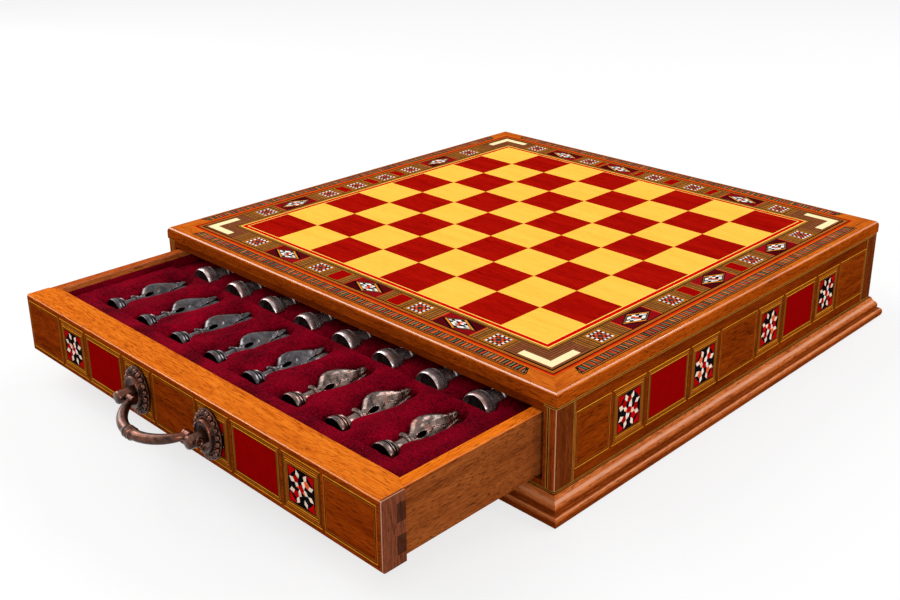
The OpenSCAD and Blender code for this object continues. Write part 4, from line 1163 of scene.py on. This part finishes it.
def bed_shape(x, y):
    """Distance to the nearest bed, negative inside, and how far the velvet falls beside it."""
    gap = np.full((TRAY_NX, TRAY_NY), 60.0)
    roll = np.zeros((TRAY_NX, TRAY_NY))
    for i in range(8):
        for y0, table, reach, end in BEDS:
            t = y - y0
            s = np.abs(x - piece_x(i)) - np.interp(t, *table)
            front, back = -(t + reach), t - end
            ends = np.maximum(front, back)
            outside = np.sqrt(np.clip(s, 0, None)**2 + np.clip(ends, 0, None)**2)
            gap = np.minimum(gap, outside + np.minimum(np.maximum(s, ends), 0))
            # the velvet falls slowly towards one side of a piece and stands up close to its other side
            slow = SLOW_ROLL*(1 - np.clip(outside/14.0, 0, 1))**2*(1 - smooth_step(back, 0.0, 4.0))
            quick = QUICK_ROLL*(1 - np.clip(outside/3.0, 0, 1))**2
            # the front end of a bed is cut sharply
            roll = np.maximum(roll, np.where(front > 0, 0, np.where(x < piece_x(i), slow, quick)))
    return gap, roll


def velvet_tray(side):
    """Padded velvet with a soft-edged bed for every chessman."""
    nx, ny = TRAY_NX, TRAY_NY
    x = np.linspace(-TRAY_X, TRAY_X, nx)[:, None]
    y = np.linspace(TRAY_Y0, TRAY_Y1, ny)[None, :]
    gap, roll = bed_shape(x, y)
    z = TRAY_TOP - roll - BED_DEPTH*(1 - smooth_step(gap, -1.6, 0.1))
    edge = np.minimum(np.minimum(TRAY_X - np.abs(x), y - TRAY_Y0), TRAY_Y1 - y)
    z = z - EDGE_ROLL*(1 - np.sqrt(1 - (1 - np.clip(edge/4.0, 0, 1))**2))
    z = z - FRONT_FALL*(1 - smooth_step(y - TRAY_Y0, 0.0, 8.0))*smooth_step(gap, -0.5, 2.0)
    # the bed of the larger pieces lies lower, behind a sharp ridge
    z = z - REAR_STEP*smooth_step(y, OFFICER_Y - 5.6, OFFICER_Y - 4.4)*smooth_step(gap, -0.5, 0.5)
    rng = np.random.default_rng(4)
    for size, amount in ((14, 0.28), (5, 0.2)):
        rough = rng.standard_normal((nx//size + 3, ny//size + 3))
        u, v = np.arange(nx)/size, np.arange(ny)/size
        iu, iv = u.astype(int), v.astype(int)
        fu, fv = smooth_step(u - iu, 0, 1)[:, None], smooth_step(v - iv, 0, 1)[None, :]
        z = z + amount*((1 - fu)*(1 - fv)*rough[np.ix_(iu, iv)] + fu*(1 - fv)*rough[np.ix_(iu + 1, iv)]
                        + (1 - fu)*fv*rough[np.ix_(iu, iv + 1)] + fu*fv*rough[np.ix_(iu + 1, iv + 1)])
    z = np.minimum(z, TRAY_TOP + 0.4)
    verts = np.stack([np.broadcast_to(x, z.shape), np.broadcast_to(y, z.shape), z], 2).reshape(-1, 3)
    i, j = np.meshgrid(np.arange(nx - 1), np.arange(ny - 1), indexing="ij")
    a = (i*ny + j).ravel()
    faces = np.stack([a, a + ny, a + ny + 1, a + 1], 1).tolist()
    # walls down from the edge, and the underside
    rim = [i*ny for i in range(nx)] + [(nx - 1)*ny + j for j in range(1, ny)] \
        + [i*ny + ny - 1 for i in range(nx - 2, -1, -1)] + list(range(ny - 2, 0, -1))
    low = verts[rim].copy()
    low[:, 2] = TRAY_Z0
    base, n = len(verts), len(rim)
    faces += [[rim[k], base + k, base + (k + 1) % n, rim[(k + 1) % n]] for k in range(n)]
    faces.append([base + k for k in range(n)][::-1])
    piece = drawer_piece(side, "velvet_tray", (np.vstack([verts, low]), faces), CRIMSON, "tray", 50)
    return piece


LINING_X, LINING_Y0, LINING_Y1, LINING_T, LINING_TOP = 180.0, -178.0, -8.4, 1.2, 62.0


def velvet_lining(side):
    """Velvet strip round the inside of the drawer walls, its top edge rounded over."""
    x, y0, y1, half = LINING_X, LINING_Y0, LINING_Y1, LINING_T/2
    bend = LINING_TOP - half
    over = [(half + half*math.cos(a), bend + half*math.sin(a)) for a in np.linspace(0.4, math.pi - 0.4, 5)]
    profile = [(0, TRAY_Z0), (LINING_T, TRAY_Z0), (LINING_T, bend)] + over + [(0, bend)]
    strip = mitred_sweep([(-x, y0, 1, 1), (x, y0, -1, 1), (x, y1, -1, -1), (-x, y1, 1, -1)], profile)
    return drawer_piece(side, "velvet_lining", strip, CRIMSON, "lining", 40)


# ---- chessmen ----

def lathe(profile, segments=48):
    """Points (radius, place along Y) turned about the Y axis; the ends lie on the axis."""
    rings = [(r, y) for r, y in profile if r > 1e-6]
    angles = np.arange(segments)*2*math.pi/segments
    verts = [(r*math.cos(a), y, r*math.sin(a)) for r, y in rings for a in angles]
    faces = []
    for k in range(len(rings) - 1):
        for s in range(segments):
            a, b = k*segments + s, k*segments + (s + 1) % segments
            faces.append([a, a + segments, b + segments, b])
    for y, ring, flip in ((profile[0][1], 0, False), (profile[-1][1], len(rings) - 1, True)):
        verts.append((0, y, 0))
        c = len(verts) - 1
        for s in range(segments):
            a, b = ring*segments + s, ring*segments + (s + 1) % segments
            faces.append([c, b, a] if flip else [c, a, b])
    return np.array(verts), faces


def ball(start, rings, segments):
    """Ball of radius 1; its first ring lies at the given angle from the pole."""
    bow = [(math.sin(a), -math.cos(a)) for a in np.linspace(start, math.pi - start, rings)]
    return lathe([(0, -1.0)] + bow + [(0, 1.0)], segments)


def surface_net(field, origin, step):
    """Quads on the zero level of a sampled field that is negative inside."""
    inside = field < 0
    corners = [(i, j, k) for i in (0, 1) for j in (0, 1) for k in (0, 1)]
    shape = tuple(n - 1 for n in field.shape)

    def cut(a, c):
        return a[c[0]:c[0] + shape[0], c[1]:c[1] + shape[1], c[2]:c[2] + shape[2]]

    total = sum(cut(inside, c).astype(int) for c in corners)
    cell = (total > 0) & (total < 8)
    index = np.full(shape, -1)
    index[cell] = np.arange(cell.sum())
    where = np.argwhere(cell)
    place, count = np.zeros((len(where), 3)), np.zeros(len(where))
    for a in corners:
        for axis in range(3):
            if a[axis]:
                continue
            b = tuple(1 if n == axis else a[n] for n in range(3))
            fa, fb = cut(field, a)[cell], cut(field, b)[cell]
            crossed = (fa < 0) != (fb < 0)
            t = np.where(crossed, fa/np.where(crossed, fa - fb, 1), 0)
            point = np.array(a, float)[None, :] + t[:, None]*np.eye(3)[axis]
            place[crossed] += point[crossed]
            count[crossed] += 1
    verts = (where + place/count[:, None])*step + np.array(origin)
    faces = []
    for axis in range(3):
        u, v = (axis + 1) % 3, (axis + 2) % 3
        lo = [slice(1, n - 1) for n in field.shape]
        hi = list(lo)
        lo[axis] = slice(0, field.shape[axis] - 1)
        hi[axis] = slice(1, field.shape[axis])
        a, b = inside[tuple(lo)], inside[tuple(hi)]
        for flip, mask in ((False, a & ~b), (True, ~a & b)):
            spots = np.argwhere(mask)
            spots[:, u] += 1
            spots[:, v] += 1
            quad = []
            for du, dv in ((-1, -1), (0, -1), (0, 0), (-1, 0)):
                c = spots.copy()
                c[:, u] += du
                c[:, v] += dv
                quad.append(index[c[:, 0], c[:, 1], c[:, 2]])
            if flip:
                quad = quad[::-1]
            faces += np.stack(quad, 1).tolist()
    return verts, faces


def line_distance(ax, ay, bx, by, px, py):
    """Distance of points from the line between a and b."""
    ex, ey = bx - ax, by - ay
    t = np.clip(((px - ax)*ex + (py - ay)*ey)/(ex*ex + ey*ey), 0, 1)
    return np.hypot(px - ax - t*ex, py - ay - t*ey)


def outline_distance(points, px, py):
    """Distance to a closed outline, negative inside."""
    pts = np.array(points, float)
    best = np.full(px.shape, 1e9)
    inside = np.zeros(px.shape, bool)
    for (ax, ay), (bx, by) in zip(pts, np.roll(pts, -1, 0)):
        best = np.minimum(best, line_distance(ax, ay, bx, by, px, py))
        crosses = ((ay > py) != (by > py)) & (px < (bx - ax)*(py - ay)/(by - ay + 1e-12) + ax)
        inside ^= crosses
    return np.where(inside, -best, best)


# head of a pawn from the side: (place along the pawn, height); its lower edge is toothed
HEAD_OUTLINE = [(21, -3.5), (24, -3.4), (27.5, -3.7), (29, -4.2), (31, -3.9), (33, -4.6), (35, -4.1), (37, -4.9),
                (39, -4.3), (41, -5.0), (43, -4.4), (45, -5.1), (47, -4.5), (49, -5.0), (51.5, -4.5), (55, -4.8),
                (58.5, -4.2), (61.4, -3.4), (62.4, -2.2), (61.6, -0.7), (59.6, 0.1), (59.0, 0.4), (60.4, 0.7),
                (61.8, 0.9), (62.8, 1.9), (62.9, 3.4), (62.0, 4.6), (59.6, 5.2), (57.4, 5.0), (55.6, 5.5),
                (53.6, 5.4), (51, 6.9), (47, 8.6), (43, 10.0), (39, 11.0), (35, 11.4), (31.5, 11.0), (28.6, 9.6),
                (26.6, 7.4), (24.6, 5.0), (21, 3.8)]
# turned parts: (radius, place along the piece)
PAWN_FOOT = [(0, 2.6), (6.8, 2.6), (7.6, 1.0), (8.0, 0.1), (8.6, 0), (9.0, 0.45), (9.05, 1.4), (8.95, 3.3),
             (8.7, 3.6), (8.0, 3.7), (8.0, 4.2), (8.75, 4.3), (8.6, 5.0), (7.8, 5.4), (7.3, 5.5), (7.2, 6.1),
             (6.3, 6.3), (6.3, 6.8), (7.3, 7.0), (7.6, 7.6), (7.4, 8.2), (6.4, 8.5), (6.0, 8.8), (5.3, 9.8),
             (4.9, 11.5), (4.7, 14), (4.7, 17.0), (4.9, 17.6), (5.7, 17.9), (5.9, 18.6), (5.7, 19.2), (4.9, 19.4),
             (4.8, 19.8), (5.2, 20.2), (5.3, 20.9), (4.9, 21.6), (4.3, 22.0), (4.0, 24.5), (0, 24.5)]
# cuts in the head: the jaw line from the notch back to the lower edge, a ring round the upper prong
HEAD_CUTS = ((59.5, 0.4, 45.5, -1.6, 0.36), (54.8, 6.0, 56.0, 2.4, 0.3))
# half thickness of the head and rounding of its edge, both against the place along the pawn
HEAD_THICK = ([20, 26, 34, 48, 58, 64], [4.0, 4.2, 4.5, 4.0, 3.1, 2.6])
HEAD_ROUND = ([20, 30, 45, 53, 64], [3.0, 3.6, 3.4, 1.6, 1.1])
HOLE_Y, HOLE_B, HOLE_LONG, HOLE_HIGH = 29.4, 1.3, 3.9, 1.35  # middle and half sizes of the hole
LEAF_Y, LEAF_LONG = 35.5, 15.0  # where the raised leaf begins, and its length
HEAD_STEP = 0.34  # size of a cell of the carved head


def horse_head(seed):
    """Flat crested head: arched top, toothed lower edge, two prongs at the tip, a hole behind the collar."""
    step = HEAD_STEP
    y = np.arange(20.0, 64.5, step)
    b = np.arange(-5.6, 12.4, step)
    n = np.arange(-4.6, 4.6, step)
    py, pb = np.meshgrid(y, b, indexing="ij")
    d = -outline_distance(HEAD_OUTLINE, py, pb)
    rng = np.random.default_rng(seed)
    hole = np.hypot((py - HOLE_Y)/HOLE_LONG, (pb - HOLE_B - 0.05*(py - HOLE_Y))/HOLE_HIGH)
    lip = np.exp(-((hole - 1.6)/0.4)**2)
    crest = np.exp(-((d - 1.4)/0.7)**2)*(pb > 1)
    crack = np.zeros_like(py)
    for ay, ab, by, bb, width in HEAD_CUTS:
        crack += np.exp(-(line_distance(ay, ab, by, bb, py, pb)/width)**2)
    waves = np.sin(py*0.5 - pb*0.9 + rng.uniform(0, 6))*0.015
    lump = 0.0
    for _ in range(9):
        cy, cb, r = rng.uniform(28, 56), rng.uniform(-2, 8), rng.uniform(1.6, 3.4)
        lump = lump + rng.uniform(-0.03, 0.04)*np.exp(-((py - cy)**2 + (pb - cb)**2)/(r*r))
    # smooth raised leaf above the hole
    t = np.clip((py - LEAF_Y)/LEAF_LONG, 0, 1)
    leaf = 1 - smooth_step(np.hypot(py - LEAF_Y - LEAF_LONG*t, pb - 4.2 + 1.4*t) - (1.3 + 1.6*t), -0.5, 0.5)
    thick = np.interp(py, *HEAD_THICK)
    thick = thick*(1 + waves + lump + 0.14*lip*smooth_step(pb, 0.5, 1.5) + 0.05*crest + 0.07*leaf - 0.24*crack)
    round_over = np.interp(py, *HEAD_ROUND)*np.where(pb > 1.5, 1.2, 0.6)
    reach = np.clip(d/round_over, -0.6, 1.0)
    swell = (1 - reach)**2 + np.clip((1.0 - hole)*6, 0, 8)
    f = (n[None, None, :]/thick[:, :, None])**2 + swell[:, :, None] - 1
    f = np.pad(f, 1, constant_values=1.0)
    return surface_net(f, (y[0] - step, b[0] - step, n[0] - step), step)


def horn(points, radius, segments=8):
    """Tapering peg through the given points, as a closed tube."""
    pts, verts = np.array(points, float), []
    for k, p in enumerate(pts):
        q = pts[min(k + 1, len(pts) - 1)] - pts[max(k - 1, 0)]
        q = q/np.linalg.norm(q)
        side = np.cross(q, (0.3, 0.2, 1.0))
        side = side/np.linalg.norm(side)
        up = np.cross(q, side)
        for s in range(segments):
            a = 2*math.pi*s/segments
            verts.append(p + radius[k]*(math.cos(a)*side + math.sin(a)*up))
    return np.array(verts), tube_faces(len(pts), segments)


def turned_about_y(points, degrees):
    """Points turned about the Y axis, from Z towards X."""
    a = math.radians(degrees)
    p = np.asarray(points, float)
    return np.stack([p[:, 0]*math.cos(a) + p[:, 2]*math.sin(a), p[:, 1],
                     -p[:, 0]*math.sin(a) + p[:, 2]*math.cos(a)], 1)


LUG = ([(0, 20.6, 3.2), (0, 20.3, 4.8), (0, 19.5, 5.9), (0, 18.5, 6.2), (0, 17.8, 5.8)], [2.2, 2.1, 1.8, 1.5, 0.8])


def pawn(seed, roll):
    """A pawn along +Y with its head's flat side rolled about the axis."""
    head_v, head_f = horse_head(seed)
    head_v = np.stack([-head_v[:, 2], head_v[:, 0], head_v[:, 1]], 1)
    v, f = join([(head_v, head_f), horn(*LUG)])
    return join([lathe(PAWN_FOOT), (turned_about_y(v, -roll), f)])


def pawns(side):
    """Eight pawns; five lie rolled over further and are darker."""
    shapes = {}
    for i in range(8):
        number = i if side == "front" else 7 - i
        rolled = number < 5
        key = (number % 3, rolled)
        if key not in shapes:
            shapes[key] = pawn(40 + number % 3, 60 if rolled else 38)
        v, f = shapes[key]
        v = v + np.array((piece_x(i), PAWN_Y, PAWN_AXIS))
        drawer_piece(side, "pawn_%d" % (i + 1), (v, f), DARK_PEWTER if rolled else PEWTER, "pawns", 38)


OFFICER_FOOT = [(0, 3.4), (8.6, 3.2), (9.4, 1.4), (9.8, 0.3), (10.1, 0), (10.5, 0.4), (10.9, 1.8), (11.0, 3.4),
                (10.9, 5.0), (10.7, 5.4), (10.0, 5.5), (10.0, 6.1), (10.7, 6.2), (10.75, 7.0), (10.5, 7.5),
                (9.8, 7.6), (9.8, 8.2), (10.2, 8.4), (10.0, 9.0), (8.6, 9.9), (7.6, 11.2), (6.9, 13.4), (6.6, 17),
                (6.6, 20.4), (7.4, 21), (7.4, 22.4), (6.6, 22.9), (6.6, 24.2), (7.2, 24.8), (7.1, 26), (5.4, 27.4)]
OFFICER_TOPS = {
    "rook": [(4.8, 33), (6.8, 35.4), (6.8, 37), (5.2, 38), (5.4, 39.4), (7.2, 41.4), (7.6, 43), (7.4, 48.6),
             (7.9, 49.4), (7.9, 52), (5.6, 52), (5.4, 49), (0, 49)],
    "bishop": [(4.8, 34), (6.8, 35.6), (6.8, 37), (4.8, 38), (5.6, 40), (7.0, 43), (7.2, 46), (6.6, 49),
               (5.0, 53), (2.3, 56.6), (2.6, 58), (1.7, 59.6), (0, 60)],
    "queen": [(4.8, 38), (6.8, 39.6), (6.8, 41), (4.9, 42), (5.2, 47), (6.4, 53), (8.0, 57), (7.6, 58),
              (6.0, 58.2), (4.2, 59.4), (2.2, 60.4), (2.5, 61.6), (1.6, 62.8), (0, 63)],
    "king": [(4.8, 38), (6.8, 39.6), (6.8, 41), (4.9, 42), (5.4, 47), (7.2, 51), (8.2, 53), (7.4, 54.8),
             (4.6, 56), (2.6, 56.8), (2.2, 58), (0, 58.2)],
    "knight": [(4.8, 30), (5.6, 31.4), (5.0, 33), (4.6, 34), (0, 34)]}
OFFICER_ORDER = ["rook", "knight", "bishop", "queen", "king", "bishop", "knight", "rook"]
STEM_R, CROWN_R = 6.6, 7.2  # how far out the raised crosses and merlons, and the queen's pearls, sit


def blade(x, y0, y1, z, bevel=0.5):
    """Bar with bevelled edges, half sizes x and z, from y0 to y1."""
    ring = [(x, z - bevel), (x - bevel, z), (bevel - x, z), (-x, z - bevel), (-x, bevel - z), (bevel - x, -z),
            (x - bevel, -z), (x, bevel - z)]
    verts = [(a, y, b) for y in (y0, y1) for a, b in ring]
    faces = [[k, k + 8, (k + 1) % 8 + 8, (k + 1) % 8] for k in range(8)] + [list(range(8)), list(range(15, 7, -1))]
    return np.array(verts), faces


def round_stem(part, degrees):
    """A part carried out to the stem's surface and round to that angle."""
    return turned_about_y(part[0] + np.array((0, 0, STEM_R)), degrees), part[1]


def officer(kind):
    """A larger chessman along +Y with the details that its kind needs."""
    parts = [lathe(OFFICER_FOOT + OFFICER_TOPS[kind])]
    # small raised crosses round the stem
    for k in range(4):
        parts += [round_stem(bar, 40 + 90*k) for bar in (blade(0.55, 12.6, 19.4, 0.7, 0.3),
                                                         blade(1.9, 15.6, 16.9, 0.7, 0.3))]
    if kind == "knight":
        # the same head as the pawns', smaller and higher up
        v, f = horse_head(50)
        v = np.stack([-v[:, 2]*1.05, 31 + (v[:, 0] - 21)*0.8, v[:, 1]*0.78], 1)
        parts.append((turned_about_y(v, -40), f))
    elif kind == "king":
        parts += [blade(1.4, 57, 65, 1.3), blade(3.6, 60, 62.4, 1.3)]
    elif kind == "queen":
        v, f = ball(0.4, 5, 10)
        for k in range(8):
            a = math.pi*k/4
            parts.append((v*1.25 + np.array((CROWN_R*math.cos(a), 58, CROWN_R*math.sin(a))), f))
    elif kind == "rook":
        parts += [round_stem(blade(1.9, 51.4, 54, 1.1), 60*k) for k in range(6)]
    return join(parts)


def officers(side):
    """The row of larger chessmen behind the pawns."""
    shapes = {kind: officer(kind) for kind in OFFICER_TOPS}
    for i, kind in enumerate(OFFICER_ORDER):
        v, f = shapes[kind]
        v = v + np.array((piece_x(i), OFFICER_Y, OFFICER_AXIS))
        node = "officers" if side == "rear" else kind + ("s" if OFFICER_ORDER.count(kind) > 1 else "")
        drawer_piece(side, "%s_%d" % (kind, i + 1), (v, f), SILVER, node, 38)


# ---- handles ----

ROSE = [(0, 0.1), (14.5, 0.1), (15.1, 0.8), (15.1, 1.7), (14.4, 2.2), (11.5, 2.4), (11.2, 3.4), (10.5, 3.7),
        (10.0, 3.5), (9.9, 3.7), (9.9, 5.6), (9.7, 6.2), (9.2, 6.5), (8.6, 6.3), (8.2, 5.6), (7.2, 4.5), (5.8, 3.9),
        (4.4, 3.8), (0, 3.8)]
POST = [(0, 3.0), (4.6, 3.0), (4.4, 4.4), (4.35, 15.0), (4.25, 16.1), (3.8, 16.9), (3.0, 17.3), (1.6, 17.5),
        (0, 17.6)]
EYE = [(0, 3.2), (1.6, 3.2), (1.7, 4.3), (2.2, 4.6), (2.8, 4.3), (2.9, 2.8), (0, 2.8)]
# the rose is a standing oval: its width and height against the turned profile
OVAL = np.array((0.86, 1, 1.11))
# round beads and milled ring: count, circle, how far out, half sizes
BEAD_RING = (20, 13.0, 2.8, (1.9, 1.9, 1.95))
MILLED_RING = (40, 10.7, 3.5, (0.5, 0.7, 0.8))
POST_R, PLAY, KNUCKLE = 4.2, 0.3, 3.5  # radius of a post, air beside it, length of a knuckle
BAIL_DEPTH, DROOP = 20.0, 8.0  # depth of the bail's bow, degrees it hangs below level
BAIL_R, SWELL = 2.2, 1.4
BAIL_RINGS, BAIL_SEGMENTS = 57, 20
KNUCKLE_TURNED = [(0, -3.4), (2.6, -3.4), (3.1, -2.9), (3.1, -1.9), (2.75, -1.7), (2.75, -1.1), (3.1, -0.9),
                  (3.1, 2.6), (2.5, 3.2), (1.85, 3.3), (1.85, 11.2), (0, 11.2)]


def facing(side, points):
    """Handle points, local X along the drawer, Y out of the wall, Z up, to that drawer's front."""
    p = np.asarray(points, float)
    p = np.stack([p[:, 0], -p[:, 1] - HALF, p[:, 2] + HANDLE_Z], 1)
    return drawer_place(side, p)


def handle_piece(side, name, shape, body, node, smooth):
    """A copper piece given in handle points, riding on that side's drawer or bail."""
    verts, faces = shape
    return new_piece(side + "_" + name, facing(side, verts), faces, COPPER, side + body,
                     [side + "_" + node], smooth=smooth)


def roses(side):
    """Two roses: plate, round beads, milled ring, a cup with a bright rim, and the post with its drilled eye."""
    v, f = ball(0.35, 7, 12)
    parts, posts = [], []
    for cx in (-HANDLE_X, HANDLE_X):
        here = np.array((cx, 0, 0))
        rose_v, rose_f = lathe(ROSE)
        parts.append((rose_v*OVAL + here, rose_f))
        count, circle, out, size = BEAD_RING
        for k in range(count):
            a = 2*math.pi*(k + 0.5)/count
            parts.append((v*np.array(size) + here + OVAL*np.array((circle*math.cos(a), out, circle*math.sin(a))), f))
        count, circle, out, size = MILLED_RING
        for k in range(count):
            a = 2*math.pi*k/count
            w = turned_about_y(v*np.array(size), math.degrees(math.pi/2 - a))
            parts.append((w + here + OVAL*np.array((circle*math.cos(a), out, circle*math.sin(a))), f))
        post_v, post_f = lathe(POST, 32)
        posts.append((post_v + here, post_f))
        eye_v, eye_f = lathe(EYE, 20)
        eye_x = cx + math.copysign(1, cx)*eye_v[:, 1]
        posts.append((np.stack([eye_x, PIVOT_OUT + eye_v[:, 0], eye_v[:, 2]], 1), eye_f))
    for name, group in (("roses", parts), ("posts", posts)):
        handle_piece(side, "handle_" + name, join(group), "_drawer", name, 50)


def bail(side):
    """Bail that swells from its ends to a ringed middle, with a knuckle beside each post."""
    end = HANDLE_X - POST_R - PLAY - KNUCKLE
    radius = (end*end + BAIL_DEPTH*BAIL_DEPTH)/(2*BAIL_DEPTH)
    spread = math.asin(end/radius)
    verts = []
    for k in range(BAIL_RINGS):
        t = -1 + 2*k/(BAIL_RINGS - 1)
        a = spread*t
        c = np.array((radius*math.sin(a), 0, -(radius*math.cos(a) - radius + BAIL_DEPTH)))
        out = np.array((math.sin(a), 0, -math.cos(a)))
        r = BAIL_R + SWELL*(1 - abs(t)**4)
        u = abs(t)*spread*radius  # along the bow from its middle
        # raised rings round the middle
        if u < 5.2:
            r += 0.75 if u < 0.9 or 2.2 < u < 4.0 else 0.15
        for s in range(BAIL_SEGMENTS):
            q = 2*math.pi*s/BAIL_SEGMENTS
            verts.append(c + out*r*1.02*math.cos(q) + np.array((0, 1, 0))*r*0.92*math.sin(q))
    parts = [(np.array(verts), tube_faces(BAIL_RINGS, BAIL_SEGMENTS))]
    for s in (-1, 1):
        knuckle, kf = lathe(KNUCKLE_TURNED, 24)
        knuckle = np.stack([s*knuckle[:, 1] + s*end, knuckle[:, 0], knuckle[:, 2]], 1)
        parts.append((knuckle, kf if s > 0 else [q[::-1] for q in kf]))
    v, f = join(parts)
    # lay the bail outwards and let it droop
    a = math.radians(DROOP)
    out, up = -v[:, 2], v[:, 1]
    local = np.stack([v[:, 0], PIVOT_OUT + out*math.cos(a) + up*math.sin(a), -out*math.sin(a) + up*math.cos(a)], 1)
    return handle_piece(side, "bail_grip", (local, f), "_bail", "bail", 40)


# ---- camera, floor and light ----

def camera():
    """Looks down on the near right corner of the case, over the open drawer."""
    data = bpy.data.cameras.new("camera")
    data.lens, data.sensor_width = 45.66, 36.0
    data.shift_y = -60/900
    data.clip_end = 20
    cam = bpy.data.objects.new("camera", data)
    right = Vector((0.71139, 0.70276, -0.00674)).normalized()
    forward = Vector((-0.65955, 0.66428, -0.35175)).normalized()
    up = right.cross(forward)
    m = Matrix((right, up, -forward)).transposed().to_4x4()
    m.translation = Vector((0.558893, -0.645944, 0.388709))
    cam.matrix_world = m
    bpy.context.scene.collection.objects.link(cam)
    bpy.context.scene.camera = cam


def area_light(name, place, aim, size, power):
    """Soft lamp at a place, turned towards the aim, in metres and watts."""
    data = bpy.data.lights.new(name, "AREA")
    data.shape, data.size, data.size_y = "RECTANGLE", size[0], size[1]
    data.energy = power
    lamp = bpy.data.objects.new(name, data)
    lamp.location = place
    lamp.rotation_euler = (Vector(aim) - Vector(place)).to_track_quat("-Z", "Y").to_euler()
    bpy.context.scene.collection.objects.link(lamp)


def white_behind(tree, share):
    """Lets camera, mirror and see-through rays meet plain white by that share."""
    g = Graph(tree)
    path = g.add("ShaderNodeLightPath").outputs
    seen = g.larger(path["Is Camera Ray"], g.larger(path["Is Glossy Ray"], path["Is Transmission Ray"]))
    return g, g.times(seen, share)


def studio():
    """White floor, white surroundings and the lamps."""
    mesh = bpy.data.meshes.new("floor")
    mesh.from_pydata([(-6, -6, 0), (6, -6, 0), (6, 6, 0), (-6, 6, 0)], [], [(0, 1, 2, 3)])
    floor = bpy.data.objects.new("floor", mesh)
    floor.location.z = -0.0004
    bpy.context.scene.collection.objects.link(floor)
    material = bpy.data.materials.new("floor")
    material.use_nodes = True
    tree = material.node_tree
    shader = tree.nodes["Principled BSDF"]
    shader.inputs["Base Color"].default_value = (0.9, 0.9, 0.9, 1)
    shader.inputs["Roughness"].default_value = 0.9
    shader.inputs["Specular IOR Level"].default_value = 0.0
    g, seen = white_behind(tree, 0.74)
    glow = g.add("ShaderNodeEmission", {"Strength": 1.0})
    both = g.add("ShaderNodeMixShader", {0: seen, 1: shader.outputs[0], 2: glow.outputs[0]})
    tree.links.new(both.outputs[0], tree.nodes["Material Output"].inputs[0])
    mesh.materials.append(material)
    world = bpy.data.worlds.new("studio")
    bpy.context.scene.world = world
    world.use_nodes = True
    g, seen = white_behind(world.node_tree, 1.0)
    back = world.node_tree.nodes["Background"]
    back.inputs["Color"].default_value = (1, 1, 1, 1)
    g.feed(back.inputs["Strength"], g.span(seen, 0, 1, 0.42, 1.0))
    area_light("key", (-1.25, -0.85, 1.35), (0, -0.1, 0.05), (1.5, 1.5), 20)
    area_light("back", (0.35, 1.5, 1.4), (0.05, 0, 0.05), (1.3, 0.5), 15)
    area_light("left", (-1.5, -0.3, 0.9), (-0.1, -0.1, 0.05), (0.5, 1.2), 8)
    area_light("right", (1.25, -0.75, 0.5), (0, -0.15, 0.05), (0.3, 0.3), 3.5)
    area_light("spark", (0.81, -0.85, 0.75), (0, -0.25, 0.05), (0.1, 0.1), 0.9)
    area_light("glint", (1.5, 0.6, 0.62), (0, -0.25, 0.05), (0.3, 0.3), 6)
    bpy.context.scene.view_settings.view_transform = "Standard"


camera()
studio()
dress_nodes()
field_lines()
striped_band()
border_red()
border_mosaics()
border_rhombi()
edge_strips()
side_marquetry()
base_sweep()
for which in ("front", "rear"):
    drawer_marquetry(which)
    velvet_tray(which)
    velvet_lining(which)
    pawns(which)
    officers(which)
    drawer_boards(which)
    roses(which)
    bail(which)
